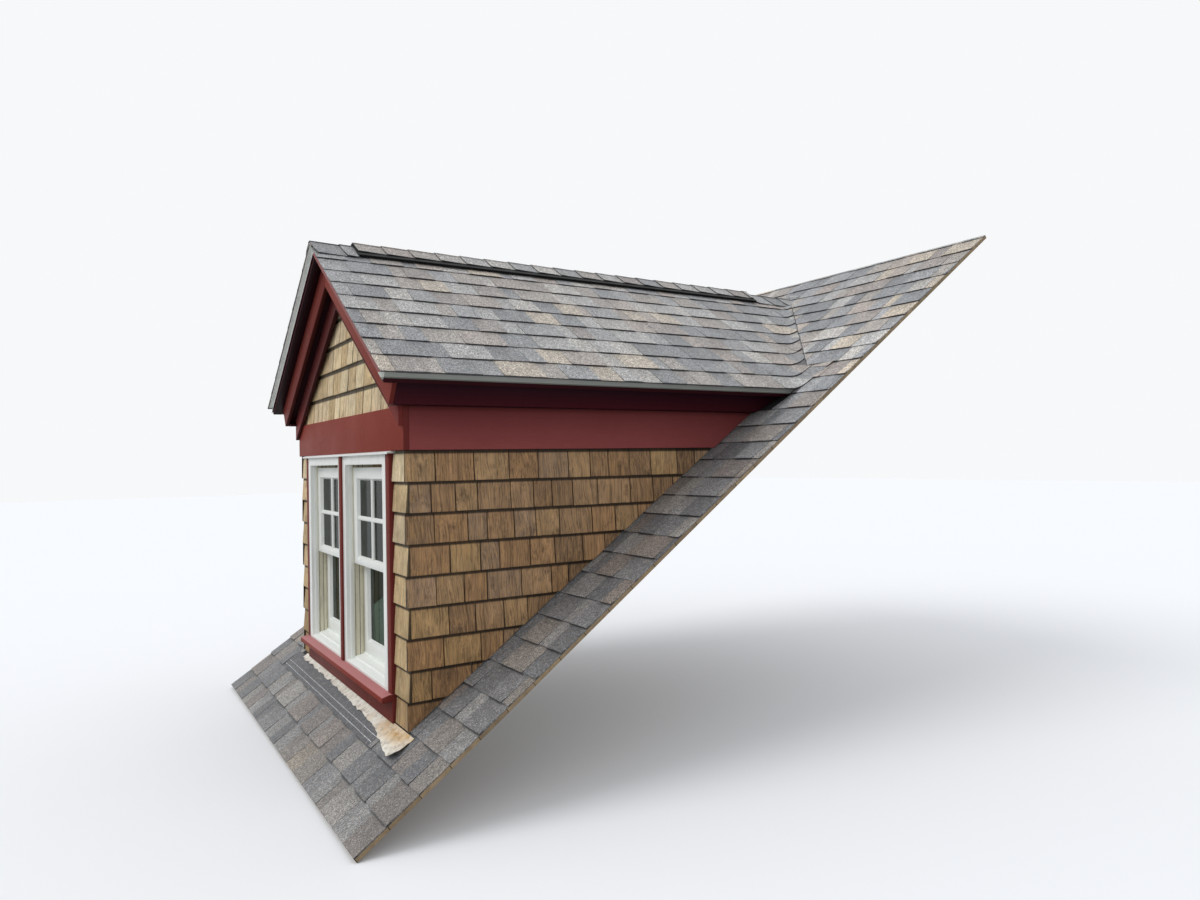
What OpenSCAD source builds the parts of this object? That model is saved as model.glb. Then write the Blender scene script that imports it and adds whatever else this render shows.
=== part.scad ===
// Gable dormer with a pair of double-hung windows, on the piece of sloping roof that carries it.
// X runs along the front wall, Y runs into the roof, Z is up.
// The origin lies in the underside of the carrying roof's deck, below the middle of the front wall's face.

/* [Main roof] */
// Pitch of the roof that carries the dormer, in degrees
main_pitch = 35.4; // [32:0.1:38]
// Thickness of the roof boards on both roofs
deck_t = 16; // [12:1:22]
// Exposure of one course of roof shingles
roof_exposure = 143; // [120:1:170]
// Thickness of a roof shingle's lower edge
roof_butt = 8; // [5:0.5:12]
// Width of main roof kept on each side of the cheek walls
collar_side = 430; // [350:5:600]
// Length of main roof kept below the front wall, along the slope
collar_front = 420; // [250:5:600]
// Length of main roof kept above the dormer's ridge, along the slope
collar_top = 300; // [200:5:500]

/* [Walls] */
// Width of the dormer over its wall boards
wall_w = 1820; // [1700:5:2000]
// Thickness of the framed and lined walls
wall_t = 115; // [90:1:150]
// Height of the frieze's lower edge above the origin
frieze_z = 1156; // [1100:1:1300]
// Height of the frieze boards
frieze_h = 180; // [140:1:220]
// Thickness of the frieze boards
frieze_t = 25; // [19:1:32]
// Exposure of one course of wall shingles
wall_exposure = 127; // [110:1:150]
// Thickness of a wall shingle's lower edge
wall_butt = 16; // [10:0.5:18]
// Thickness of a wall shingle where the next one covers it
wall_lap = 6; // [3:0.5:9]

/* [Dormer roof] */
// Pitch of the dormer's own roof, in degrees
roof_pitch = 33.7; // [30:0.1:38]
// Reach of the eaves beyond the cheek wall boards
eave_out = 185; // [160:1:240]
// Reach of the rake boards' front beyond the front wall boards
rake_out = 95; // [80:1:140]
// Width of the fascia and rake boards
board_w = 152; // [120:1:180]
// Thickness of the fascia and rake boards
board_t = 19; // [15:1:25]
// Height of the moulding at the top of those boards
mould_h = 38; // [30:1:50]
// How far that moulding stands out from the fascia boards
mould_d = 38; // [20:1:45]
// How far it stands out from the rake boards
rake_mould_d = 50; // [25:1:60]
// Thickness of the soffit boards
soffit_t = 10; // [6:1:16]
// Rise of the rake soffit above the rake board's lower edge
soffit_rise = 8; // [4:1:16]
// Width of the rake frieze on the gable
rake_frieze_w = 97; // [70:1:120]
// Depth of the rafters
rafter_d = 140; // [110:1:160]
// Width of a rafter and of the ridge board
rafter_w = 38; // [30:1:50]
// Distance between rafters
rafter_step = 406; // [300:1:610]

/* [Roof trim] */
// Thickness of the sheet metal of flashings and drip edges
metal_t = 1.2; // [0.8:0.1:2]
// Height of the drip edge's face along the eaves
drip_h = 29; // [20:1:35]
// Height of its face along the rakes
rake_drip_h = 40; // [25:1:50]
// Length of the drip edge's leg on the deck
drip_leg = 45; // [30:1:60]
// How far the lip of the drip edge is kicked out
drip_kick = 7; // [3:1:10]
// Overhang of the shingles beyond the drip edge along the eaves
shingle_over = 13; // [6:1:20]
// The same along the rakes
rake_over = 22; // [10:1:30]
// Width of the ridge vent on each slope
vent_w = 140; // [110:1:180]
// Height of the ridge vent
vent_h = 16; // [10:1:24]
// Distance of the vent's front end from the front wall
vent_start = 41; // [10:1:200]
// Distance of the vent's rear end from the point where the ridges meet
vent_stop = 400; // [300:1:800]
// Width of the ridge shingles on each slope
cap_w = 150; // [120:1:180]
// Thickness of a ridge shingle's lower edge
cap_butt = 7; // [4:0.5:10]
// Width of each leg of the step and apron flashings
flashing_w = 100; // [70:1:130]

/* [Window] */
// Width of one window unit
unit_w = 680; // [600:1:720]
// Width of the mullion between the two units
mullion_w = 40; // [36:1:80]
// Height of the lower edge of the window frames above the origin
unit_z = 137; // [125:1:160]
// Width of the red side casings
casing_w = 50; // [35:1:70]
// Thickness of the side casings, the frames' outer face lies flush with them
casing_t = 27; // [22:1:32]
// How far the mullion cover stands out from the casings
mullion_out = 9; // [4:1:15]
// Height of the head flashing over the window
head_h = 10; // [6:1:14]
// How far the head flashing stands out beyond the casings' face
head_out = 15; // [8:1:25]
// How far it reaches past the casings on each side
head_side = 25; // [10:1:40]
// Height of the lip that hangs from its front edge
head_lip = 3; // [2:0.5:6]
// Height of the projecting sill
sill_h = 32; // [26:1:40]
// How far the sill stands out from the wall boards
sill_out = 70; // [55:1:85]
// Fall of its upper face towards the front edge
sill_slope = 9; // [4:1:14]
// Width of the white outer frame of a unit
brick_w = 45; // [38:1:50]
// Thickness of the frame's jambs
jamb_w = 25; // [20:1:30]
// Width of the sash tracks beside the sashes
track_w = 35; // [30:1:40]
// Part of that width that shows beside the frame's outer moulding
track_show = 8; // [5:1:12]
// Width and depth of the groove in a sash track
groove_w = 4; // [3:0.5:6]
// Width of the parting bead between the two sashes
parting_w = 10; // [8:1:14]
// Depth of the frame's outer moulding
brick_d = 37; // [30:1:42]
// Depth of a sash
sash_d = 35; // [30:1:38]
// Width of a sash's stiles and top rail
stile_w = 53; // [40:1:65]
// Height of the meeting rails
meeting_h = 32; // [25:1:40]
// Height of the lower sash's bottom rail
bottom_h = 60; // [50:1:90]
// Height of the white frame's sill under the lower sash
stool_h = 47; // [42:1:60]
// Height of that sill's inner edge behind the lower sash
stool_lip = 6; // [4:1:12]
// Height of each upright step on that sill
step_h = 9; // [6:1:10]
// Fall of each tread between the steps
step_fall = 8; // [5:1:9]
// Width of the upper tread in front of the lower sash
step_w = 6; // [4:1:12]
// Dark gap left above the upper sash
head_gap = 13; // [4:1:20]
// Thickness of a glass pane
glass_t = 4; // [3:0.5:6]
// Depth of the groove that holds the glass
glass_groove = 8; // [5:0.5:12]

/* [Clearances] */
// Gap between pieces that rest on uneven shingles
rest_gap = 0.3; // [0.2:0.1:0.6]
// Gap around a sash in its tracks
sash_gap = 0.5; // [0.3:0.1:1]

/* [Hidden] */
// Height on the main roof measured square to its underside
main_top = deck_t + roof_butt;
// Part of a shingle's lower edge that shows as a step
roof_lap = roof_butt / 2;
// Distance down the slope from the ridge to the outer face of the eave moulding
slope_l = (wall_w / 2 + eave_out) / cos(roof_pitch);
// The same to the outer face of the fascia
fascia_s = slope_l - mould_d;
// Depth of the boards' lower edge under the deck's upper face
board_n = deck_t + board_w;
// Height of the soffit and of the frieze's upper edge
frieze_top = frieze_z + frieze_h;
// Height of the deck's upper faces where they meet at the ridge
ridge_z = frieze_top + fascia_s * sin(roof_pitch) + board_n * cos(roof_pitch);
// Half widths that the trim shares
wall_x = wall_w / 2;
room_x = wall_x - wall_t;
unit_x = mullion_w / 2;
window_x = unit_x + unit_w;
casing_x = window_x + casing_w;
collar_x = wall_x + collar_side;
// Front planes of the gable trim
rake_y = -rake_out;
mould_y = rake_y - rake_mould_d;
shingle_y = mould_y - metal_t - rake_over;
// Upper ends of the window opening
head_z = frieze_z - head_h;
// Where the ridge of the deck reaches the main deck, and the end of the cheek walls
ridge_end_y = (ridge_z - deck_t / cos(main_pitch)) / tan(main_pitch);
header_y = (frieze_top - deck_t / cos(main_pitch)) / tan(main_pitch);
// Extent of the kept main roof along its slope
main_t0 = -collar_front;
main_t1 = ridge_end_y / cos(main_pitch) + collar_top;
// A length that is longer than the whole part
far = 6000;
// Length by which layers run past the ridge before they are cut there
past_ridge = 60;
// Extra depth of cuts that go right through
cut = 1;
// Planes across the window's depth
face_y = -casing_t;
stop_y = face_y + brick_d;
lower_sash_y = stop_y + sash_d + parting_w;
track_end_y = lower_sash_y + sash_d + parting_w;
// Heights of the two sashes
sash_z0 = unit_z + stool_h;
sash_z1 = head_z - brick_w - head_gap;
meet_z = (sash_z0 + sash_z1 - meeting_h) / 2;
// Place and foot of the frame sill's upper step
step_y = lower_sash_y - step_w;
step_z = sash_z0 - step_h;
// Width between the sash tracks of one unit
sash_x = unit_w - 2 * (jamb_w + track_w);

// Height of a surface of the dormer roof at distance x from the middle, n above the deck
function roof_z(x, n) = ridge_z - abs(x) * tan(roof_pitch) + n / cos(roof_pitch);

// Height of a surface of the main roof at depth y, n above the seat
function main_z(y, n) = n / cos(main_pitch) + y * tan(main_pitch);

// Point of the right slope in the XZ plane, s down the slope and n above the deck
function slope_point(s, n) = [
    s * cos(roof_pitch) + n * sin(roof_pitch),
    ridge_z - s * sin(roof_pitch) + n * cos(roof_pitch)
];

// Where a face that stands square to the slope at distance s reaches height z
function square_x(s, z) = s / cos(roof_pitch) + (z - ridge_z) * tan(roof_pitch);

// Outline of overlapping courses: length l, exposure e, thick butts at the start of each course
function courses(l, e, butt, lap, base) = concat(
    [[0, base]],
    [for (i = [0 : ceil(l / e - 0.01) - 1]) each [
        [i * e, butt],
        [min(l, (i + 1) * e), butt - (butt - lap) * (min(l, (i + 1) * e) - i * e) / e]
    ]],
    [[l, base]]
);

// A YZ outline that runs along X
module along_x(x0, x1) {
    translate([x0, 0, 0]) rotate([90, 0, 90]) linear_extrude(x1 - x0) children();
}

// An XZ outline that runs along Y
module along_y(y0, y1) {
    translate([0, y1, 0]) rotate([90, 0, 0]) linear_extrude(y1 - y0) children();
}

// Places a piece on the right, or mirrors it to the left
module on_side(side) {
    if (side > 0) children();
    else mirror([1, 0, 0]) children();
}

module both_sides() {
    children();
    mirror([1, 0, 0]) children();
}

// Axes of the dormer's right slope: X down the slope, Y as before, Z square to the deck
module in_slope() {
    translate([0, 0, ridge_z]) rotate([0, roof_pitch, 0]) children();
}

// Axes of the main roof: X as before, Y up the slope, Z square to the deck
module in_main() {
    rotate([main_pitch, 0, 0]) children();
}

// Everything above a plane that lies n over the main roof's seat
module above_main(n) {
    along_x(-far, far) polygon([
        [-far, main_z(-far, n)], [far, main_z(far, n)], [far, 2 * far], [-far, 2 * far]
    ]);
}

module right_half() {
    translate([0, -far, -far]) cube([far, 3 * far, 3 * far]);
}

// Layer of the right slope between two heights over the deck, cut plumb at the ridge
module slope_layer(s1, y0, y1, n0, n1) {
    along_y(y0, y1) polygon([
        [0, roof_z(0, n0)], slope_point(s1, n0), slope_point(s1, n1), [0, roof_z(0, n1)]
    ]);
}

// Main roof: deck, shingles and flashings

module collar_deck() {
    color("tan") difference() {
        in_main() translate([-collar_x, main_t0, 0]) cube([2 * collar_x, main_t1 - main_t0, deck_t]);
        translate([-room_x, wall_t, -far]) cube([2 * room_x, header_y - wall_t, 2 * far]);
    }
}

// Courses of the main roof between two widths and two places along the slope
module main_courses(x0, x1, t0, t1) {
    intersection() {
        in_main() translate([0, main_t0, deck_t]) along_x(x0, x1)
            polygon(courses(main_t1 - main_t0, roof_exposure, roof_butt, roof_lap, 0));
        in_main() translate([x0, t0, 0]) cube([x1 - x0, t1 - t0, main_top + cut]);
    }
}

// Space of the dormer's deck and shingles where the main courses stop
module valley_cut() {
    both_sides() slope_layer(slope_l + shingle_over + metal_t, 0, far, -deck_t - rest_gap, main_top + rest_gap);
}

module collar_shingles_front() {
    color("dimgray") main_courses(-collar_x, collar_x, main_t0, -wall_butt / cos(main_pitch));
}

module collar_shingles_side(side) {
    color("dimgray") difference() {
        on_side(side) main_courses(wall_x, collar_x, -wall_butt / cos(main_pitch), main_t1);
        valley_cut();
        step_flashing_solid();
    }
}

module collar_shingles_left() {
    collar_shingles_side(-1);
}

module collar_shingles_right() {
    collar_shingles_side(1);
}

module collar_shingles_top() {
    color("dimgray") difference() {
        main_courses(-wall_x, wall_x, header_y / cos(main_pitch), main_t1);
        both_sides() along_y(-far, far) polygon([
            [-cut, 0], [far, 0], [far, roof_z(far, main_top + rest_gap)],
            [-cut, roof_z(0, main_top + rest_gap)]
        ]);
    }
}

// Sheet bent over the lowest course and up behind the apron board
module apron_flashing() {
    n0 = main_top + rest_gap;
    color("ivory") along_x(-casing_x, casing_x) polygon([
        [-flashing_w, main_z(-flashing_w, n0)],
        [0, main_z(0, n0)],
        [0, main_z(0, n0) + flashing_w / 2],
        [-metal_t, main_z(0, n0) + flashing_w / 2],
        [-metal_t, main_z(-metal_t, n0 + metal_t)],
        [-flashing_w, main_z(-flashing_w, n0 + metal_t)]
    ]);
}

module step_flashing_solid() {
    end_y = (frieze_z - deck_t / cos(main_pitch)) / tan(main_pitch);
    both_sides() {
        in_main() translate([wall_x, 0, deck_t]) cube([flashing_w, end_y / cos(main_pitch), metal_t]);
        along_x(wall_x, wall_x + metal_t) polygon([
            [0, main_z(0, deck_t)], [end_y, frieze_z],
            [end_y - flashing_w / tan(main_pitch), frieze_z], [0, main_z(0, deck_t) + flashing_w]
        ]);
    }
}

module step_flashing() {
    color("silver") step_flashing_solid();
}

// Walls and roof frame

module front_wall() {
    color("burlywood") difference() {
        intersection() {
            along_y(0, wall_t) polygon([
                [-wall_x, -far], [wall_x, -far], [wall_x, roof_z(wall_x, -deck_t)],
                [0, roof_z(0, -deck_t)], [-wall_x, roof_z(wall_x, -deck_t)]
            ]);
            above_main(deck_t);
        }
        both_sides() translate([unit_x, -cut, unit_z]) cube([unit_w, wall_t + 2 * cut, head_z - unit_z]);
    }
}

module cheek_wall(side) {
    color("burlywood") intersection() {
        on_side(side) along_y(wall_t, ridge_end_y) polygon([
            [room_x, -far], [wall_x, -far],
            [wall_x, roof_z(wall_x, -deck_t - rafter_d)], [room_x, roof_z(room_x, -deck_t - rafter_d)]
        ]);
        above_main(deck_t);
    }
}

module cheek_wall_left() {
    cheek_wall(-1);
}

module cheek_wall_right() {
    cheek_wall(1);
}

module ridge_board() {
    edge = rafter_w / 2;
    low = roof_z(0, -deck_t) - rafter_d / cos(roof_pitch) - edge;
    color("tan") intersection() {
        along_y(wall_t, far) polygon([
            [-edge, low], [edge, low], [edge, roof_z(edge, -deck_t)],
            [0, roof_z(0, -deck_t)], [-edge, roof_z(edge, -deck_t)]
        ]);
        above_main(deck_t);
    }
}

// One rafter from the ridge board to the back of the fascia
module rafter(y) {
    edge = rafter_w / 2;
    tail = fascia_s - board_t;
    along_y(y, y + rafter_w) polygon([
        [edge, roof_z(edge, -deck_t)], slope_point(tail, -deck_t),
        slope_point(tail, -deck_t - rafter_d), [edge, roof_z(edge, -deck_t - rafter_d)]
    ]);
}

module rafters() {
    color("tan") intersection() {
        both_sides() for (y = [wall_t : rafter_step : ridge_end_y - rafter_step]) rafter(y);
        above_main(main_top + rest_gap);
    }
}

module roof_deck(side) {
    color("tan") intersection() {
        on_side(side) slope_layer(slope_l, mould_y, far, -deck_t, 0);
        above_main(deck_t);
    }
}

module roof_deck_left() {
    roof_deck(-1);
}

module roof_deck_right() {
    roof_deck(1);
}

// Wall shingles

// Courses that climb a wall, outline in the plane square to it
module wall_courses(z0, z1) {
    polygon([for (p = courses(z1 - z0, wall_exposure, wall_butt, wall_lap, 0)) [p[1], p[0] + z0]]);
}

// Lowest butt line, a whole number of courses under the frieze
course_z0 = frieze_z - wall_exposure * ceil(frieze_z / wall_exposure);

module front_shingles() {
    color("peru") intersection() {
        both_sides() translate([casing_x, 0, 0]) rotate([0, 0, -90])
            along_y(0, wall_x - casing_x) wall_courses(course_z0, frieze_z);
        above_main(main_top + rest_gap + metal_t);
    }
}

module cheek_shingles(side) {
    color("sienna") difference() {
        intersection() {
            on_side(side) translate([wall_x, 0, 0]) along_y(-wall_butt, header_y)
                wall_courses(course_z0, frieze_z);
            above_main(main_top + rest_gap);
        }
        step_flashing_solid();
    }
}

module cheek_shingles_left() {
    cheek_shingles(-1);
}

module cheek_shingles_right() {
    cheek_shingles(1);
}

module gable_shingles() {
    top_n = -board_n + soffit_rise;
    color("peru") intersection() {
        translate([-wall_x, 0, 0]) rotate([0, 0, -90])
            along_y(0, wall_w) wall_courses(frieze_top, ridge_z);
        along_y(-frieze_t, 0) polygon([
            [-wall_x, frieze_top], [wall_x, frieze_top],
            [wall_x, roof_z(wall_x, top_n)], [0, roof_z(0, top_n)], [-wall_x, roof_z(wall_x, top_n)]
        ]);
    }
}

// Frieze, eaves and rakes

module frieze_front() {
    color("firebrick") translate([-wall_x - frieze_t, -frieze_t, frieze_z])
        cube([wall_w + 2 * frieze_t, frieze_t, frieze_h]);
}

module frieze_side(side) {
    color("maroon") intersection() {
        on_side(side) translate([wall_x, 0, frieze_z]) cube([frieze_t, far, frieze_h]);
        above_main(main_top + rest_gap);
    }
}

module frieze_left() {
    frieze_side(-1);
}

module frieze_right() {
    frieze_side(1);
}

// Board square to the slope, cut level where the soffit meets it
module eave_fascia(side) {
    back_s = fascia_s - board_t;
    color("maroon") intersection() {
        on_side(side) along_y(rake_y + board_t, far) polygon([
            slope_point(back_s, -deck_t), slope_point(fascia_s, -deck_t),
            [square_x(fascia_s, frieze_top), frieze_top], [square_x(back_s, frieze_top), frieze_top]
        ]);
        above_main(main_top + rest_gap);
    }
}

module eave_fascia_left() {
    eave_fascia(-1);
}

module eave_fascia_right() {
    eave_fascia(1);
}

module eave_mould() {
    color("maroon") intersection() {
        both_sides() in_slope() translate([fascia_s, rake_y, -deck_t - mould_h])
            cube([mould_d, far, mould_h]);
        above_main(main_top + rest_gap);
    }
}

module eave_soffit() {
    back_s = fascia_s - board_t;
    color("maroon") intersection() {
        both_sides() along_y(rake_y + board_t, far) polygon([
            [wall_x, frieze_top], [square_x(back_s, frieze_top), frieze_top],
            [square_x(back_s, frieze_top + soffit_t), frieze_top + soffit_t], [wall_x, frieze_top + soffit_t]
        ]);
        above_main(main_top + rest_gap);
    }
}

module rake_board(side) {
    color("firebrick") on_side(side)
        slope_layer(fascia_s, rake_y, rake_y + board_t, -board_n, -deck_t);
}

module rake_board_left() {
    rake_board(-1);
}

module rake_board_right() {
    rake_board(1);
}

module rake_mould() {
    color("maroon") both_sides()
        slope_layer(slope_l, mould_y, rake_y, -deck_t - mould_h, -deck_t);
}

// Narrow board under the rake soffit, cut plumb over the corner of the frieze
module rake_frieze() {
    top_n = -board_n + soffit_rise;
    low_n = top_n - rake_frieze_w;
    end_x = wall_x + frieze_t;
    color("brown") both_sides() along_y(-frieze_t - board_t, -frieze_t) polygon([
        [0, roof_z(0, low_n)], [end_x, roof_z(end_x, low_n)],
        [end_x, roof_z(end_x, top_n)], [0, roof_z(0, top_n)]
    ]);
}

module rake_soffit() {
    low_n = -board_n + soffit_rise;
    color("maroon") both_sides() intersection() {
        along_y(rake_y + board_t, 0) polygon([
            [0, roof_z(0, low_n)], [wall_x + eave_out, roof_z(wall_x + eave_out, low_n)],
            [wall_x + eave_out, roof_z(wall_x + eave_out, low_n + soffit_t)], [0, roof_z(0, low_n + soffit_t)]
        ]);
        along_y(rake_y + board_t, 0) polygon([
            [0, frieze_top + soffit_t],
            [square_x(fascia_s - board_t, frieze_top + soffit_t), frieze_top + soffit_t],
            slope_point(fascia_s - board_t, -deck_t), [0, ridge_z]
        ]);
    }
}

// Roof covering

// Bent metal edge: leg on the deck, face of height h and kicked lip, outline as x outward and y up
module drip_profile(h) {
    polygon([
        [-drip_leg, 0], [0, 0], [0, -h + drip_kick], [drip_kick - metal_t, -h],
        [drip_kick, -h], [metal_t, -h + drip_kick], [metal_t, metal_t], [-drip_leg, metal_t]
    ]);
}

module drip_edge() {
    color("lightgray") both_sides() {
        intersection() {
            in_slope() translate([slope_l, 0, 0]) along_y(mould_y, far) drip_profile(drip_h);
            above_main(main_top + rest_gap);
        }
        intersection() {
            in_slope() translate([0, mould_y, 0]) mirror([0, 1, 0])
                along_x(-far, slope_l + metal_t) drip_profile(rake_drip_h);
            right_half();
        }
    }
}

module roof_shingles(side) {
    edge_s = slope_l + metal_t + shingle_over;
    color("dimgray") intersection() {
        on_side(side) intersection() {
            in_slope() translate([edge_s, 0, metal_t]) mirror([1, 0, 0]) along_y(shingle_y, far)
                polygon(courses(edge_s + past_ridge, roof_exposure, roof_butt, roof_lap, 0));
            right_half();
        }
        above_main(deck_t);
    }
}

module roof_shingles_left() {
    roof_shingles(-1);
}

module roof_shingles_right() {
    roof_shingles(1);
}

module ridge_vent() {
    low_n = metal_t + roof_butt;
    color("black") both_sides() intersection() {
        slope_layer(vent_w, vent_start, ridge_end_y - vent_stop, low_n, low_n + vent_h);
        right_half();
    }
}

// Lengths of overlapping ridge shingles, the first with its butt at y0
module cap_run(y0, y1, n) {
    both_sides() intersection() {
        in_slope() translate([0, y0, n]) along_x(-past_ridge, cap_w)
            polygon(courses(y1 - y0, roof_exposure, cap_butt, cap_butt / 2, 0));
        right_half();
        above_main(main_top + rest_gap);
    }
}

module ridge_caps() {
    low_n = metal_t + roof_butt;
    color("dimgray") {
        cap_run(shingle_y, vent_start, low_n);
        cap_run(vent_start, ridge_end_y - vent_stop, low_n + vent_h);
        cap_run(ridge_end_y - vent_stop, ridge_end_y + vent_stop, low_n);
    }
}

// Window trim

module head_flashing() {
    reach = casing_t + head_out;
    color("white") along_x(-casing_x - head_side, casing_x + head_side) polygon([
        [0, head_z], [-reach + metal_t, head_z],
        [-reach + metal_t, head_z - head_lip], [-reach, head_z - head_lip],
        [-reach, head_z + head_h / 2], [-frieze_t, frieze_z], [0, frieze_z]
    ]);
}

module window_casings() {
    color("firebrick") {
        both_sides() translate([window_x, face_y, unit_z]) cube([casing_w, casing_t, head_z - unit_z]);
        translate([-unit_x, face_y - mullion_out, unit_z])
            cube([mullion_w, casing_t + mullion_out, head_z - unit_z]);
    }
}

module window_sill() {
    color("brown") along_x(-casing_x, casing_x) polygon([
        [0, unit_z - sill_h], [-sill_out, unit_z - sill_h], [-sill_out, unit_z - sill_slope],
        [face_y - mullion_out, unit_z], [0, unit_z]
    ]);
}

module apron_board() {
    color("brown") intersection() {
        translate([-casing_x, -frieze_t, -far]) cube([2 * casing_x, frieze_t - metal_t, far + unit_z - sill_h]);
        above_main(main_top + 2 * rest_gap + metal_t);
    }
}

// Window units

// Outline of the frame's sill, which climbs inward in two steps
module sill_outline() {
    polygon([
        [face_y, unit_z], [wall_t, unit_z], [wall_t, sash_z0 + stool_lip], [track_end_y, sash_z0 + stool_lip],
        [track_end_y, sash_z0], [step_y, sash_z0], [step_y, step_z],
        [stop_y, step_z - step_fall], [stop_y, step_z - step_fall - step_h],
        [face_y, step_z - 2 * step_fall - step_h]
    ]);
}

module window_frame(side) {
    inner = unit_w - 2 * jamb_w;
    color("white") on_side(side) translate([unit_x, 0, 0]) {
        difference() {
            translate([0, face_y, unit_z]) cube([unit_w, wall_t - face_y, head_z - unit_z]);
            translate([jamb_w, face_y - cut, unit_z - cut])
                cube([inner, wall_t - face_y + 2 * cut, head_z - jamb_w - unit_z + cut]);
        }
        for (x = [jamb_w, unit_w - brick_w])
            translate([x, face_y, unit_z]) cube([brick_w - jamb_w, brick_d / 2, head_z - jamb_w - unit_z]);
        for (x = [jamb_w, unit_w - jamb_w - track_w + track_show])
            translate([x, face_y + brick_d / 2, unit_z])
                cube([track_w - track_show, brick_d / 2, head_z - jamb_w - unit_z]);
        translate([jamb_w, face_y, head_z - brick_w]) cube([inner, brick_d, brick_w - jamb_w]);
        along_x(jamb_w, unit_w - jamb_w) sill_outline();
    }
}

module window_frame_left() {
    window_frame(-1);
}

module window_frame_right() {
    window_frame(1);
}

// Liner on each jamb in which the sashes slide, with the groove between the two tracks
module jamb_tracks() {
    groove_y = lower_sash_y - (parting_w + groove_w) / 2;
    color("wheat") both_sides() translate([unit_x, 0, 0]) intersection() {
        difference() {
            for (x = [jamb_w, unit_w - jamb_w - track_w])
                translate([x, stop_y, unit_z]) cube([track_w, track_end_y - stop_y, head_z - jamb_w - unit_z]);
            for (x = [jamb_w + track_w - groove_w, unit_w - jamb_w - track_w])
                translate([x, groove_y, unit_z]) cube([groove_w, groove_w, head_z]);
        }
        along_x(0, unit_w) polygon([
            [stop_y, step_z - step_fall], [step_y, step_z], [step_y, sash_z0],
            [track_end_y, sash_z0], [track_end_y, head_z], [stop_y, head_z]
        ]);
    }
}

// A sash with its glazing groove, x0 and z0 at its lower left corner
module sash(z0, z1, low_h, top_h) {
    x0 = unit_x + jamb_w + track_w + sash_gap;
    w = sash_x - 2 * sash_gap;
    translate([x0, 0, z0]) difference() {
        cube([w, sash_d, z1 - z0]);
        translate([stile_w, -cut, low_h])
            cube([w - 2 * stile_w, sash_d + 2 * cut, z1 - z0 - low_h - top_h]);
        translate([stile_w - glass_groove, (sash_d - glass_t) / 2, low_h - glass_groove])
            cube([w - 2 * stile_w + 2 * glass_groove, glass_t, z1 - z0 - low_h - top_h + 2 * glass_groove]);
    }
}

// The pane that fills a sash's groove
module pane(z0, z1, low_h, top_h) {
    x0 = unit_x + jamb_w + track_w + sash_gap + stile_w - glass_groove;
    w = sash_x - 2 * sash_gap - 2 * stile_w + 2 * glass_groove;
    translate([x0, (sash_d - glass_t) / 2, z0 + low_h - glass_groove])
        cube([w, glass_t, z1 - z0 - low_h - top_h + 2 * glass_groove]);
}

module upper_sashes() {
    color("white") both_sides() translate([0, stop_y + sash_gap, 0])
        sash(meet_z, sash_z1, meeting_h, stile_w);
}

module lower_sashes() {
    color("white") both_sides() translate([0, lower_sash_y, 0])
        sash(sash_z0 + sash_gap, meet_z + meeting_h, bottom_h, meeting_h);
}

module window_glass() {
    color("lightblue") both_sides() {
        translate([0, stop_y + sash_gap, 0]) pane(meet_z, sash_z1, meeting_h, stile_w);
        translate([0, lower_sash_y, 0])
            pane(sash_z0 + sash_gap, meet_z + meeting_h, bottom_h, meeting_h);
    }
}

collar_deck();
collar_shingles_front();
collar_shingles_left();
collar_shingles_right();
collar_shingles_top();
apron_flashing();
step_flashing();
front_wall();
cheek_wall_left();
cheek_wall_right();
ridge_board();
rafters();
roof_deck_left();
roof_deck_right();
front_shingles();
cheek_shingles_left();
cheek_shingles_right();
gable_shingles();
frieze_front();
frieze_left();
frieze_right();
eave_fascia_left();
eave_fascia_right();
eave_mould();
eave_soffit();
rake_board_left();
rake_board_right();
rake_mould();
rake_frieze();
rake_soffit();
drip_edge();
roof_shingles_left();
roof_shingles_right();
ridge_vent();
ridge_caps();
head_flashing();
window_casings();
window_sill();
apron_board();
window_frame_left();
window_frame_right();
jamb_tracks();
upper_sashes();
lower_sashes();
window_glass();
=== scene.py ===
import math
import random

import bmesh
import bpy
from mathutils import Matrix, Vector, noise


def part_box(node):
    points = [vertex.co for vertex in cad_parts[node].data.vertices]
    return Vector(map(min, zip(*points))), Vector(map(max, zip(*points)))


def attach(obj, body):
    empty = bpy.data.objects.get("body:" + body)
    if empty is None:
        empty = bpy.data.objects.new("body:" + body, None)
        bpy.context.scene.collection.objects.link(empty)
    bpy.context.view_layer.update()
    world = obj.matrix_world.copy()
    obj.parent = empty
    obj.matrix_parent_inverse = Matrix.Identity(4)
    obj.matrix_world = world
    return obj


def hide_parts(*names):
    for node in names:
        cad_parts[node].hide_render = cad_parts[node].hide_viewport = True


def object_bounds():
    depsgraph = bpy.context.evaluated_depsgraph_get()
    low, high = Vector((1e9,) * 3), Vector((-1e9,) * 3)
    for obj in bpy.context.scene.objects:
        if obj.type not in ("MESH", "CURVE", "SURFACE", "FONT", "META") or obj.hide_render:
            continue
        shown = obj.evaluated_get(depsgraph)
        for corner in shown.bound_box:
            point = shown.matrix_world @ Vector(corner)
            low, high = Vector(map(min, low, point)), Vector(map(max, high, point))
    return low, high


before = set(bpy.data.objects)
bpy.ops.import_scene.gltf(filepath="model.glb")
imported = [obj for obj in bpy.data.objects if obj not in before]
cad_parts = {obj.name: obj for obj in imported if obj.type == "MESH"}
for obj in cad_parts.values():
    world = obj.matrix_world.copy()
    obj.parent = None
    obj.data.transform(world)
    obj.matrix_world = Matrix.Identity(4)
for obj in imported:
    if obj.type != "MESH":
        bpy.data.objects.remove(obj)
cad_lo, cad_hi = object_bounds()

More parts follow.
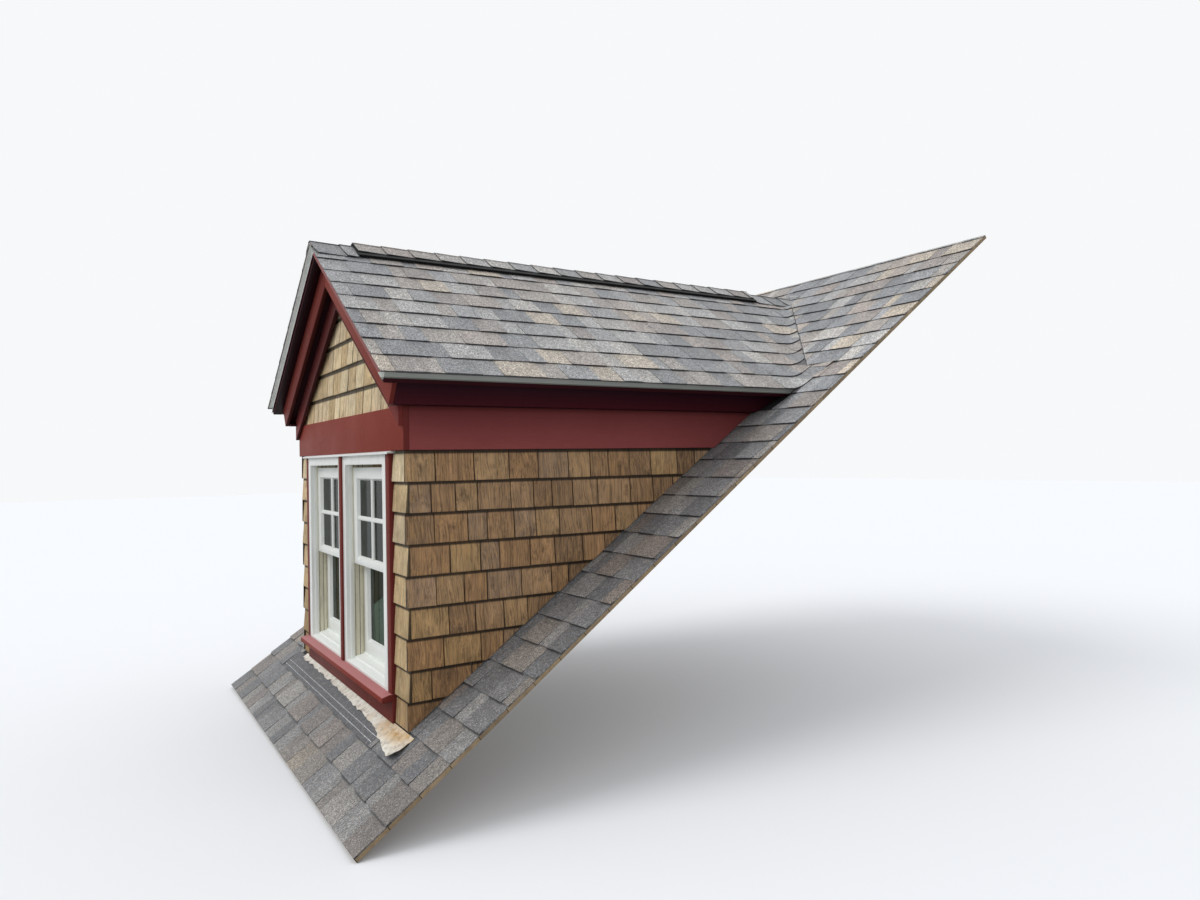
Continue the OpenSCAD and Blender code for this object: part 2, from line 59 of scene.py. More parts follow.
# Sizes in metres, as in the CAD source
MP, RP = math.radians(35.4), math.radians(33.7)
DECK_T, METAL_T, EXPO, BUTT, LAP = 0.016, 0.0012, 0.143, 0.008, 0.004
WALL_X, FRIEZE_Z, FRIEZE_H = 0.91, 1.156, 0.180
WALL_EXPO, WALL_BUTT, WALL_LAP = 0.127, 0.016, 0.006
EAVE_OUT, RAKE_OUT, BOARD_W, MOULD_D, RAKE_MOULD_D = 0.185, 0.095, 0.152, 0.038, 0.050
SOFFIT_RISE, SHINGLE_OVER, RAKE_OVER = 0.008, 0.013, 0.022
VENT_W, VENT_H, VENT_START, VENT_STOP, CAP_W, CAP_BUTT = 0.140, 0.016, 0.041, 0.400, 0.150, 0.007
UNIT_W, UNIT_X, CASING_X = 0.680, 0.020, 0.750
COLLAR_TOP, REST_GAP = 0.300, 0.0003
JAMB_W, TRACK_W, SASH_GAP, STILE_W = 0.025, 0.035, 0.0005, 0.053

SLOPE_L = (WALL_X + EAVE_OUT) / math.cos(RP)
FASCIA_S = SLOPE_L - MOULD_D
FASCIA_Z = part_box("eave_fascia_right")[0].z
DRIP_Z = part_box("drip_edge")[0].z
BOARD_N = DECK_T + BOARD_W
FRIEZE_TOP = FRIEZE_Z + FRIEZE_H
RIDGE_Z = FRIEZE_TOP + FASCIA_S * math.sin(RP) + BOARD_N * math.cos(RP)
EDGE_S = SLOPE_L + METAL_T + SHINGLE_OVER
MOULD_Y = -RAKE_OUT - RAKE_MOULD_D
SHINGLE_Y = MOULD_Y - METAL_T - RAKE_OVER
MAIN_TOP = DECK_T + BUTT
RIDGE_END_Y = (RIDGE_Z - DECK_T / math.cos(MP)) / math.tan(MP)
MAIN_T0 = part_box("collar_deck")[0].z / math.sin(MP)
MAIN_T1 = RIDGE_END_Y / math.cos(MP) + COLLAR_TOP
COLLAR_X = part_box("collar_deck")[1].x
WALL_COURSES = math.ceil(FRIEZE_Z / WALL_EXPO)
COURSE_Z0 = FRIEZE_Z - WALL_EXPO * WALL_COURSES


def roof_z(x, n):
    """Height of the dormer's roof at x, n square above its deck."""
    return RIDGE_Z - abs(x) * math.tan(RP) + n / math.cos(RP)


def main_z(y, n):
    """Height of the main roof at y, n square above the underside of its deck."""
    return n / math.cos(MP) + y * math.tan(MP)


def lin(r, g, b):
    """Linear colour of an 8-bit one."""
    return tuple((c / 255 / 12.92 if c <= 10 else ((c / 255 + 0.055) / 1.055) ** 2.4) for c in (r, g, b))


def ease(x, a, b):
    """0 up to a, 1 from b on, and a smooth curve between."""
    t = min(max((x - a) / (b - a), 0.0), 1.0)
    return t * t * (3 - 2 * t)


def wobble(u, v, w):
    """Smooth noise between about -1 and 1."""
    return noise.noise(Vector((u, v, w)))


def link(o):
    bpy.context.scene.collection.objects.link(o)


# Camera, fitted to the photo's corner points

SENSOR = 36
PHOTO_WIDTH, FOCAL_PIXELS = 1200, 829.4
CAMERA_AT = (4.173, -1.120, 1.096)
az, pitch, roll = math.radians(57.98), math.radians(-0.798), math.radians(-1.006)
look = Vector((-math.sin(az) * math.cos(pitch), math.cos(az) * math.cos(pitch), -math.sin(pitch)))
right = Vector((math.cos(az), math.sin(az), 0))
up = right.cross(look)
cam_x = right * math.cos(roll) + up * math.sin(roll)
cam_y = up * math.cos(roll) - right * math.sin(roll)
camera_data = bpy.data.cameras.new("photo_camera")
camera_data.sensor_width = SENSOR
camera_data.sensor_fit = "HORIZONTAL"
camera_data.lens = FOCAL_PIXELS / PHOTO_WIDTH * SENSOR
camera_data.clip_start = 0.05
camera_data.clip_end = 200
camera = bpy.data.objects.new("photo_camera", camera_data)
rows = [(cam_x[i], cam_y[i], -look[i], CAMERA_AT[i]) for i in range(3)]
camera.matrix_world = Matrix((*rows, (0, 0, 0, 1)))
link(camera)
bpy.context.scene.camera = camera


# Materials

class Nodes:
    """Short calls that add nodes to a material or a world. A value is a socket or a constant."""

    def __init__(self, owner):
        owner.use_nodes = True
        self.tree = owner.node_tree
        self.tree.nodes.clear()

    def feed(self, sock, value):
        if isinstance(value, bpy.types.NodeSocket):
            self.tree.links.new(value, sock)
        else:
            sock.default_value = (*value[:3], 1) if sock.type == "RGBA" else value

    def add(self, kind, props=None, **inputs):
        """A node. Its inputs go by name, or by number after an underscore."""
        node = self.tree.nodes.new("ShaderNode" + kind)
        for key, value in (props or {}).items():
            setattr(node, key, value)
        for key, value in inputs.items():
            self.feed(node.inputs[int(key[1:]) if key[0] == "_" else key.replace("_", " ")], value)
        return node

    def math(self, operation, *values, kind="Math"):
        inputs = {"_%d" % i: v for i, v in enumerate(values)}
        node = self.add(kind, {"operation": operation}, **inputs)
        return node.outputs[1 if operation == "DOT_PRODUCT" else 0]

    def vector(self, operation, *values):
        return self.math(operation, *values, kind="VectorMath")

    def times(self, a, b):
        return self.math("MULTIPLY", a, b)

    def plus(self, a, b):
        return self.math("ADD", a, b)

    def shade(self, color, value):
        """A colour times a grey value."""
        return self.add("VectorMath", {"operation": "SCALE"}, _0=color, Scale=value).outputs[0]

    def blend(self, fac, a, b):
        return self.add("Mix", {"data_type": "RGBA"}, _0=fac, _6=a, _7=b).outputs[2]

    def attribute(self, name, output):
        return self.add("Attribute", {"attribute_name": name}).outputs[output]

    def split(self, vec):
        return self.add("SeparateXYZ", Vector=vec).outputs

    def facing(self):
        """The x, y and z of the way that the surface faces."""
        return self.split(self.add("NewGeometry").outputs["True Normal"])

    def coords(self, stretch=None, seeded=False):
        """Coordinates in the shared frame, shifted by each piece's own seed if seeded, times stretch."""
        vec = self.add("TexCoord").outputs["Object"]
        if seeded:
            vec = self.vector("ADD", vec, self.attribute("seed", "Vector"))
        return self.vector("MULTIPLY", vec, stretch) if stretch else vec

    def grain(self, vec, scale, detail=4.0, rough=0.6, distortion=0.0):
        return self.add("TexNoise", Vector=vec, Scale=scale, Detail=detail, Roughness=rough,
                        Distortion=distortion).outputs["Fac"]

    def span(self, value, a, b, c, d, clamp=True):
        """Maps a..b to c..d."""
        return self.add("MapRange", {"clamp": clamp}, Value=value, From_Min=a, From_Max=b,
                        To_Min=c, To_Max=d).outputs["Result"]

    def vary(self, value, low, high):
        """Maps the usual range of a noise to low..high."""
        return self.span(value, 0.3, 0.7, low, high)

    def seen_rays(self):
        """1 for the rays that show the background, 0 for those that light the object."""
        path = self.add("LightPath").outputs
        shown = self.math("MAXIMUM", path["Is Camera Ray"], path["Is Glossy Ray"])
        return self.math("MAXIMUM", shown, path["Is Transmission Ray"])


class Look(Nodes):
    """A material with a Principled shader, its fixed values on the shader's own sockets."""

    def __init__(self, name, **fixed):
        self.material = bpy.data.materials.new(name)
        super().__init__(self.material)
        self.shader = self.add("BsdfPrincipled", **fixed)
        self.add("OutputMaterial", Surface=self.shader.outputs[0])

    def finish(self, color, rough, height, strength, distance):
        """Feeds colour, roughness and bump to the shader."""
        bump = self.add("Bump", Height=height, Strength=strength, Distance=distance).outputs[0]
        for key, value in (("Base Color", color), ("Roughness", rough), ("Normal", bump)):
            self.feed(self.shader.inputs[key], value)
        return self.material


def asphalt_material():
    """Mottled tabs with single light and dark granules, black at cut edges, with painted shadow under the
    next course's butts and along the valley's cut.
    """
    m = Look("asphalt_granules", Specular_IOR_Level=0.9, Sheen_Weight=0.12, Sheen_Roughness=0.4)
    vec = m.coords(seeded=True)
    grit = m.add("TexVoronoi", Vector=vec, Scale=390.0).outputs["Color"]
    cell = m.add("SeparateColor", Color=grit).outputs[0]
    mottle = m.times(m.span(m.grain(vec, 125.0, 3.0, 0.75), 0.34, 0.66, 0.54, 1.46),
                     m.span(m.grain(vec, 58.0, 2.0), 0.34, 0.66, 0.80, 1.20))
    cloud = m.vary(m.grain(vec, 6.0, 2.0), 0.93, 1.08)
    dusty = m.span(m.grain(vec, 75.0, 2.0), 0.46, 0.62, 0.0, 0.25)
    col = m.blend(dusty, m.attribute("tone", "Color"), lin(150, 136, 120))
    col = m.shade(col, m.times(mottle, cloud))
    col = m.shade(col, m.times(m.span(cell, 0.74, 0.82, 1.0, 1.95), m.span(cell, 0.18, 0.25, 0.36, 1.0)))
    # The edge value: black cut edges, and painted shadow under the butts and along the valley's cut
    col = m.blend(m.span(m.attribute("edge", "Fac"), 0.0, 0.3, 0.0, 0.98), col, lin(14, 14, 17))
    return m.finish(col, 0.58, m.plus(cell, m.grain(vec, 220.0, 2.0)), 0.6, 0.0012)


def cedar_material(name, dark, pale, streak, gloss, lean, axis):
    """Split or sawn cedar: grain up the shingle, leaning and curling a little by its own seed."""
    m = Look(name, Specular_IOR_Level=0.25)
    plain = m.coords(seeded=True)
    turn = m.times(m.split(m.attribute("seed", "Vector"))[0], lean)
    vec = m.add("VectorRotate", {"rotation_type": axis}, Vector=plain, Angle=turn).outputs[0]
    swirl = m.add("TexNoise", Vector=vec, Scale=7.0, Detail=1.0).outputs["Color"]
    vec = m.vector("MULTIPLY_ADD", swirl, (0.03, 0.03, 0.0), vec)
    vec = m.vector("MULTIPLY", vec, (1, 1, 0.032))
    fine = m.grain(vec, 420.0, 4.0, 0.7)
    rings = m.grain(vec, 170.0, 2.0)
    broad = m.grain(vec, 34.0, 3.0, 0.55)
    blot = m.grain(plain, 14.0)
    value = m.times(m.times(m.vary(fine, 0.60, 1.42), m.vary(broad, 0.76, 1.24)), m.vary(blot, 0.85, 1.15))
    col = m.shade(m.attribute("tone", "Color"), value)
    col = m.blend(m.span(rings, 0.52, 0.66, 0.0, streak), col, pale)
    col = m.blend(m.span(rings, 0.47, 0.36, 0.0, streak), col, dark)
    stain = m.times(m.span(broad, 0.50, 0.66, 0.0, 0.62), m.span(blot, 0.52, 0.36, 0.0, 1.0))
    col = m.blend(stain, col, dark)
    # The edge value: dark joints and butt ends, and painted shadow under the next course
    col = m.shade(col, m.span(m.attribute("edge", "Fac"), 0.0, 0.8, 1.0, 0.13))
    return m.finish(col, m.vary(fine, gloss, gloss + 0.16), m.plus(fine, rings), 0.55, 0.0011)


# Dust, and the colours of painted shade on faces turned sideways and of a painted highlight on faces turned
# up
PAINT_DUST, PAINT_SIDE_SHADE, PAINT_TOP_HIGHLIGHT = lin(176, 132, 120), lin(112, 49, 46), lin(206, 146, 146)


def paint_material(name, color, fade, rough, dust_and_side_shade=0.0, rise=None):
    """Brushed paint. rise is two heights, and the colour of painted shade that the paint has darkened to at
    the upper one; faces turned up get a painted highlight and faces turned down painted shade.
    """
    m = Look(name, Specular_IOR_Level=0.07)
    vec = m.coords()
    large = m.grain(vec, 3.5)
    peel = m.grain(vec, 330.0, 2.0)
    brush = m.grain(m.coords((1, 0.12, 1)), 150.0, 3.0)
    col = m.blend(m.span(large, 0.35, 0.75, 0.0, 0.6), color, fade)
    col = m.shade(col, m.times(m.vary(brush, 0.94, 1.06), m.vary(peel, 0.96, 1.04)))
    if rise:
        low, high, tint = rise
        col = m.blend(m.span(m.split(vec)[2], low, high, 0.0, 1.0), col, tint)
    sideways, _, upward = m.facing()
    if dust_and_side_shade:
        dust = m.span(m.times(m.grain(vec, 60.0, 5.0, 0.75), large), 0.31, 0.38, 0.0, dust_and_side_shade)
        col = m.blend(dust, col, PAINT_DUST)
        # Painted shade on faces turned to either side
        col = m.blend(m.span(m.math("ABSOLUTE", sideways), 0.7, 0.9, 0.0, 0.9), col, PAINT_SIDE_SHADE)
    # Painted highlight on faces turned up
    col = m.blend(m.span(upward, 0.7, 0.9, 0.0, 0.62), col, PAINT_TOP_HIGHLIGHT)
    # Painted shade on faces turned down
    col = m.shade(col, m.span(upward, -0.9, -0.6, 0.22, 1.0))
    return m.finish(col, m.vary(large, rough, rough + 0.12), m.plus(m.times(brush, 0.7), peel), 0.25, 0.0006)


def streaked_material(name, color, stain, amount, rough, metallic=0.0, bands=()):
    """A smooth sheet or moulding with stains that run down it.

    bands are lines on it: an axis for the absolute coordinates, the centre along it, half the width
    and the colour.
    """
    m = Look(name, Metallic=metallic)
    soft = 0.0004
    runs = m.grain(m.coords((1, 1, 0.16)), 46.0, 4.0, 0.65)
    dust = m.grain(m.coords(), 9.0, 5.0, 0.7)
    fac = m.times(m.span(runs, 0.42, 0.62, 0.0, 1.0), m.span(dust, 0.4, 0.65, 0.2 * amount, amount))
    col = m.blend(fac, color, stain)
    for axis, centre, half, tint in bands:
        along = m.vector("DOT_PRODUCT", m.vector("ABSOLUTE", m.coords()), axis)
        off = m.math("ABSOLUTE", m.plus(along, -centre))
        col = m.blend(m.span(off, half - soft, half + soft, 1.0, 0.0), col, tint)
    col = m.shade(col, m.vary(m.grain(m.coords(), 240.0, 2.0), 0.97, 1.03))
    return m.finish(col, m.vary(dust, rough, rough + 0.15), m.plus(runs, dust), 0.12, 0.0006)


def lumber_material(name, color, along, board=0.0, across=(0, 0, 0), start=0.0, felt=False):
    """Sawn wood with its grain along one direction, joints between boards across another, and felt on top."""
    m = Look(name, Specular_IOR_Level=0.2)
    vec = m.coords()
    drawn = m.coords(tuple(1 - 0.94 * abs(a) for a in along))
    fine = m.grain(drawn, 240.0, 5.0)
    broad = m.grain(drawn, 26.0, 3.0, 0.6, 0.4)
    value = m.times(m.vary(fine, 0.82, 1.14), m.vary(broad, 0.8, 1.16))
    height = m.plus(fine, broad)
    if board:
        place = m.span(m.vector("DOT_PRODUCT", vec, across), start, start + board, 0.0, 1.0, False)
        gap = m.math("LESS_THAN", m.math("FRACT", place), 0.022)
        own = m.add("TexWhiteNoise", {"noise_dimensions": "1D"}, W=m.math("FLOOR", place)).outputs["Value"]
        value = m.times(value, m.span(own, 0.0, 1.0, 0.82, 1.12))
        value = m.times(value, m.span(gap, 0.0, 1.0, 1.0, 0.15))
        height = m.plus(height, m.times(gap, -6.0))
    col = m.shade(color, value)
    if felt:
        black = m.blend(m.grain(vec, 300.0, 3.0), lin(34, 34, 36), lin(62, 62, 64))
        col = m.blend(m.span(m.facing()[2], 0.70, 0.75, 0.0, 1.0), col, black)
    return m.finish(col, m.vary(fine, 0.65, 0.82), height, 0.35, 0.0012)


def glass_material():
    """Dark greenish panes with a slight ripple, their dark green tint a painted reflection of trees. The low
    IOR keeps the pale studio's reflection weak.
    """
    m = Look("window_pane", IOR=1.13, Transmission_Weight=1.0, Specular_IOR_Level=0.04)
    vec = m.coords()
    fac = m.span(m.grain(vec, 2.4, 2.0), 0.4, 0.6, 0.0, 1.0)
    col = m.blend(fac, (0.038, 0.068, 0.047), (0.064, 0.100, 0.072))
    return m.finish(col, 0.0, m.grain(vec, 3.0, 1.0), 0.03, 0.002)


def membrane_material():
    """A pale sheet with dirt all over and rust at its loose corner."""
    m = Look("torn_membrane")
    vec = m.coords()
    x, y, _ = m.split(vec)
    rust = m.grain(vec, 8.0, 6.0, 0.72)
    corner = m.times(m.span(x, 0.45, 0.80, 0.0, 1.0), m.span(y, -0.090, -0.045, 0.0, 1.0))
    fac = m.times(m.span(rust, 0.36, 0.56, 0.2, 1.0), m.plus(0.20, m.times(corner, 0.75)))
    col = m.blend(fac, lin(240, 238, 228), lin(196, 148, 66))
    col = m.blend(m.span(m.grain(vec, 30.0, 5.0, 0.75), 0.50, 0.66, 0.0, 0.62), col, lin(132, 116, 92))
    return m.finish(col, m.vary(rust, 0.45, 0.7), m.plus(rust, m.grain(vec, 70.0, 3.0)), 0.6, 0.003)


def vent_material():
    m = Look("vent_plastic")
    vec = m.coords()
    dust = m.grain(vec, 40.0, 5.0, 0.7)
    col = m.blend(m.span(dust, 0.5, 0.8, 0.0, 0.25), lin(14, 14, 15), lin(52, 52, 52))
    return m.finish(col, m.vary(dust, 0.55, 0.75), m.grain(vec, 300.0, 2.0), 0.2, 0.0004)


ASPHALT = asphalt_material()
CEDAR_BROWN = cedar_material("oiled_cedar", lin(60, 44, 31), lin(208, 160, 100), 0.45, 0.50, 0.016, "X_AXIS")
CEDAR_LIGHT = cedar_material("pale_cedar", lin(120, 90, 56), lin(228, 208, 170), 0.32, 0.60, 0.010, "Y_AXIS")
RED = paint_material("brick_red_paint", lin(135, 58, 46), lin(121, 50, 41), 0.50, 0.10)
# A lighter copy of the red paint for the frieze's sides, with painted shade of the eave darkening it towards
# their top
FRIEZE_SIDE_RED = paint_material("maroon_paint", lin(158, 82, 80), lin(145, 73, 71), 0.46,
                        rise=(FRIEZE_Z, FRIEZE_TOP, lin(116, 52, 52)))
# A dark copy of the paint for the mouldings and soffits: painted shade under the overhangs
SHADED_MAROON = paint_material("shaded_maroon_paint", lin(58, 19, 27), lin(48, 15, 23), 0.44)
# A dark copy of the paint for the fascias, painted shade, darkened further towards their top
SHADED_FASCIA = paint_material("shaded_fascia_paint", lin(76, 26, 34), lin(70, 24, 32), 0.44,
                        rise=(FASCIA_Z, FASCIA_Z + 0.085, lin(36, 10, 22)))
# The red paint for the rake frieze, with painted shade under the rake soffit darkening it upward from the
# frieze's top
SHADED_DEEP_RED = paint_material("shaded_deep_red_paint", lin(122, 52, 48), lin(110, 47, 43), 0.50,
                          rise=(FRIEZE_TOP - 0.02, FRIEZE_TOP + 0.12, lin(84, 35, 34)))
# A darker red for the casings; the left bargeboard takes it too, as painted shade
CASING_RED = paint_material("casing_paint", lin(116, 50, 43), lin(102, 44, 38), 0.50, 0.10)
SHADED_RED = paint_material("shaded_red_paint", lin(106, 50, 43), lin(90, 42, 38), 0.50, 0.10)
WHITE = streaked_material("white_paint", lin(238, 240, 234), lin(196, 194, 180), 0.22, 0.30)
# Painted shadow lines along the jamb tracks, where their grooves are
GROOVE_SHADE_LINES = [((0, 1, 0), y, 0.0014, lin(84, 77, 62)) for y in (0.012, 0.034, 0.056)]
CREAM = streaked_material("cream_vinyl", lin(226, 220, 196), lin(160, 152, 128), 0.5, 0.35, bands=GROOVE_SHADE_LINES)
# The metal is painted over along the foot of the rakes, and greyer along the eaves
DRIP_BANDS = [((math.sin(RP), 0, math.cos(RP)), RIDGE_Z * math.cos(RP) - 0.036, 0.006, lin(122, 52, 48)),
              ((0, 0, 1), DRIP_Z + 0.020, 0.014, lin(170, 173, 166)),
              ((0, 0, 1), DRIP_Z, 0.011, lin(108, 108, 100))]
DRIP = streaked_material("drip_metal", lin(248, 252, 247), lin(196, 202, 196), 0.45, 0.40, 0.15, DRIP_BANDS)
PLATE = streaked_material("edge_plate_metal", lin(244, 247, 242), lin(196, 200, 194), 0.4, 0.35)
ZINC = streaked_material("flashing_metal", lin(168, 170, 172), lin(110, 112, 114), 0.6, 0.35, 0.8)
HEAD_WHITE = streaked_material("white_metal", lin(238, 240, 236), lin(190, 188, 178), 0.25, 0.32)
MEMBRANE = membrane_material()
VENT = vent_material()
GLASS = glass_material()
DECK_MAIN = lumber_material("deck_boards_main", lin(164, 142, 112), (1, 0, 0), 0.14,
                            (0, math.cos(MP), math.sin(MP)), -0.42, True)
DECK_DORMER = lumber_material("deck_boards_dormer", lin(168, 146, 116), (0, 1, 0), 0.14,
                              (0, 0, 1), 0.03, True)
STUD = lumber_material("framing_lumber", lin(196, 162, 116), (0, 0, 1))
RAFTER = lumber_material("rafter_lumber", lin(192, 158, 112), (0.8, 0, 0.6))
RIDGE_WOOD = lumber_material("ridge_lumber", lin(190, 156, 110), (0, 1, 0))
LINING = lumber_material("wall_lining", lin(206, 178, 138), (0, 0, 1), 0.115, (0, 1, 0), 0.0)


# Mesh building

TINY_AREA = 2e-8
GREY, NO_SEED = (0.5, 0.5, 0.5), (0, 0, 0)


def clip(poly, a, b, c):
    """The part of a polygon where a * u + b * v is at most c."""
    out = []
    for i, p in enumerate(poly):
        q = poly[(i + 1) % len(poly)]
        dp, dq = a * p[0] + b * p[1] - c, a * q[0] + b * q[1] - c
        if dp <= 1e-9:
            out.append(p)
        if (dp < -1e-9 and dq > 1e-9) or (dp > 1e-9 and dq < -1e-9):
            t = dp / (dp - dq)
            out.append((p[0] + t * (q[0] - p[0]), p[1] + t * (q[1] - p[1])))
    return out


def area(poly):
    return abs(sum(p[0] * q[1] - q[0] * p[1] for p, q in zip(poly, poly[1:] + poly[:1]))) / 2


def slices(poly, a, b, cuts):
    """A polygon cut along the lines where a * u + b * v is one of cuts."""
    out, rest = [], poly
    for c in sorted(cuts):
        low = clip(rest, a, b, c)
        if len(low) > 2 and area(low) > TINY_AREA:
            out.append(low)
        rest = clip(rest, -a, -b, -c)
        if len(rest) < 3 or area(rest) <= TINY_AREA:
            return out
    out.append(rest)
    return out


def cut_all(cells, a, b, cuts):
    return [part for cell in cells for part in slices(cell, a, b, cuts)]


def along_cuts(a, b, step):
    n = max(1, round((b - a) / step))
    return [a + (b - a) * i / n for i in range(1, n)]


def rect(u0, u1, v0, v1):
    return [(u0, v0), (u1, v0), (u1, v1), (u0, v1)]


def half_plane(p, q, inside, margin=0.0):
    """What clip takes to keep the side of the line from p to q where inside lies, moved out by margin."""
    a, b = q[1] - p[1], p[0] - q[0]
    length = math.hypot(a, b)
    a, b = a / length, b / length
    c = a * p[0] + b * p[1]
    if a * inside[0] + b * inside[1] > c:
        a, b, c = -a, -b, -c
    return a, b, c + margin


class Shell:
    """Collects closed slabs into one mesh, with a colour, a texture shift and an edge value at each point;
    the edge value darkens cut edges and joints and also carries painted shadow.
    """

    def __init__(self):
        self.verts, self.faces, self.tone, self.seed, self.edge = [], [], [], [], []

    def slab(self, cells, place, top, low, tone, seed, edge=None, flat=True, under_edge=None):
        """cells are convex polygons in u, v that share edges. place gives the point at u, v and a height."""
        keys, points, faces = {}, [], []
        for cell in cells:
            loop = []
            for p in cell:
                key = (round(p[0] * 1e5 + 0.37), round(p[1] * 1e5 + 0.37))
                if key not in keys:
                    keys[key] = len(points)
                    points.append(p)
                if not loop or loop[-1] != keys[key]:
                    loop.append(keys[key])
            if loop and loop[0] == loop[-1]:
                loop.pop()
            if len(loop) > 2 and len(set(loop)) == len(loop):
                faces.append(loop)
        directed = {(f[i], f[(i + 1) % len(f)]) for f in faces for i in range(len(f))}
        rim = {a: b for a, b in directed if (b, a) not in directed}
        if len(rim) < 3:
            return
        base = len(self.verts)
        for u, v in points:
            self.verts.append(place(u, v, top(u, v)))
            self.edge.append(edge(u, v) if edge else 0.0)
        start = next(iter(rim))
        loop, at = [start], rim[start]
        while at != start and len(loop) <= len(rim):
            loop.append(at)
            at = rim.get(at, start)
        simple = flat and len(loop) == len(rim)
        under = {}
        for i, (u, v) in enumerate(points):
            if i in rim or not simple:
                under[i] = len(self.verts)
                self.verts.append(place(u, v, low(u, v)))
                self.edge.append(under_edge(u, v) if under_edge else 1.0)
        for f in faces:
            self.faces.append([base + i for i in f])
            if not simple:
                self.faces.append([under[i] for i in reversed(f)])
        for a, b in rim.items():
            self.faces.append([base + b, base + a, under[a], under[b]])
        if simple:
            self.faces.append([under[i] for i in reversed(loop)])
        new = len(self.verts) - len(self.tone)
        self.tone.extend([tone] * new)
        self.seed.extend([seed] * new)

    def plate(self, cells, place, top, low, tone=GREY, seed=NO_SEED, flat=True):
        """A slab between two even heights."""
        self.slab(cells, place, lambda u, v: top, lambda u, v: low, tone, seed, flat=flat)

    def solid(self, verts, faces):
        base = len(self.verts)
        self.verts.extend(verts)
        self.faces.extend([[base + i for i in f] for f in faces])
        self.tone.extend([GREY] * len(verts))
        self.seed.extend([NO_SEED] * len(verts))
        self.edge.extend([0.0] * len(verts))

    def ringed(self, rings, closed):
        """A solid of rings of four points. The last is joined to the first, or both are capped."""
        n = len(rings)
        faces = [] if closed else [[0, 1, 2, 3], [4 * n - 4, 4 * n - 3, 4 * n - 2, 4 * n - 1]]
        for r in range(n if closed else n - 1):
            a, b = 4 * r, 4 * ((r + 1) % n)
            faces += [[a + k, a + (k + 1) % 4, b + (k + 1) % 4, b + k] for k in range(4)]
        self.solid([p for ring in rings for p in ring], faces)

    def build(self, name, material, slot, *nodes, smooth=35.0):
        mesh = bpy.data.meshes.new(name)
        mesh.from_pydata([tuple(v) for v in self.verts], [], self.faces)
        mesh.attributes.new("tone", "FLOAT_COLOR", "POINT").data.foreach_set(
            "color", [c for t in self.tone for c in (*t, 1.0)])
        mesh.attributes.new("seed", "FLOAT_VECTOR", "POINT").data.foreach_set(
            "vector", [c for s in self.seed for c in s])
        mesh.attributes.new("edge", "FLOAT", "POINT").data.foreach_set("value", self.edge)
        bm = bmesh.new()
        bm.from_mesh(mesh)
        bmesh.ops.recalc_face_normals(bm, faces=bm.faces)
        bm.to_mesh(mesh)
        bm.free()
        piece(name, mesh, smooth, material, slot, *nodes)


def piece(name, mesh, smooth, material, slot, *nodes):
    mesh.polygons.foreach_set("use_smooth", [True] * len(mesh.polygons))
    mesh.set_sharp_from_angle(angle=math.radians(smooth))
    mesh.materials.clear()
    mesh.materials.append(material)
    o = bpy.data.objects.new(name, mesh)
    link(o)
    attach(o, "root")
    if nodes:
        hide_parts(*nodes)


# Planes of the two roofs and the fold at the valley, for the right side

END_TAPER = 0.05
N1 = Vector((math.sin(RP), 0, math.cos(RP)))
N2 = Vector((0, -math.sin(MP), math.cos(MP)))
S1 = Vector((math.cos(RP), 0, -math.sin(RP)))
T2 = Vector((0, math.cos(MP), math.sin(MP)))


def sided(place, side):
    """place for the right side, or its mirror image for the left one."""
    def mirrored(u, v, h):
        p = place(u, v, h)
        return Vector((-p.x, p.y, p.z))
    return place if side > 0 else mirrored


def side_name(side):
    return "right" if side > 0 else "left"


def on_dormer(y, s, h):
    """Point over the right slope: h above the sheet metal on the deck."""
    return Vector((0, y, RIDGE_Z)) + S1 * s + N1 * (METAL_T + h)


def on_main(x, t, h):
    """Point over the main roof's deck, inside the CAD's height at both its ends."""
    h = min(h, h + (LAP - h) * ease(t, MAIN_T1 - END_TAPER, MAIN_T1 - 0.002),
            max(BUTT - 0.0003, h * ease(t, MAIN_T0, MAIN_T0 + END_TAPER)))
    return Vector((x, 0, 0)) + T2 * t + N2 * (DECK_T + h)


VALLEY = Vector((-1 / math.tan(RP), 1 / math.tan(MP), 1)).normalized()
W1 = VALLEY.cross(N1)
W1 = W1 if W1.y > 0 else -W1
W2 = VALLEY.cross(N2)
W2 = W2 if W2.x > 0 else -W2
valley_x = 1.0
valley_y = (roof_z(valley_x, METAL_T) - DECK_T / math.cos(MP)) / math.tan(MP)
V0 = Vector((valley_x, valley_y, roof_z(valley_x, METAL_T)))
THETA = W1.angle(W2)
FOLD_R, FOLD_LIFT, FOLD_REACH = 0.11, 0.002, 0.03
PRESSED, PRESSED_REACH = 0.45, 0.10
FOLD_T = FOLD_R * math.tan(THETA / 2)
FOLD_L = FOLD_R * THETA


def unfold(y, s):
    """Distance along the valley and past it of a point on the dormer's slope."""
    q = on_dormer(y, s, 0) - V0
    return q.dot(VALLEY), q.dot(W1)


def on_fold(y, s, h):
    """Point over the dormer's slope, or past the valley over the main roof, with a rounded fold between.

    Past the fold the courses above the lowest one are pressed flatter.
    """
    a, c = unfold(y, s)
    if c <= -FOLD_T:
        return on_dormer(y, s, h)
    lift = FOLD_LIFT * ease(c, -FOLD_T * 0.5, FOLD_T + FOLD_REACH)
    if s < EDGE_S - EXPO:
        h *= 1 - PRESSED * ease(c, 0.0, PRESSED_REACH)
    phi = (c + FOLD_T) / FOLD_R
    start = V0 + VALLEY * a - W1 * FOLD_T
    if phi < THETA:
        bend = W1 * (FOLD_R * math.sin(phi)) + N1 * (FOLD_R * (1 - math.cos(phi)))
        return start + bend + (N1 * math.cos(phi) - W1 * math.sin(phi)) * (h + lift)
    past = FOLD_T + (c + FOLD_T - FOLD_L)
    return V0 + VALLEY * a + W2 * past + N2 * (h + lift)


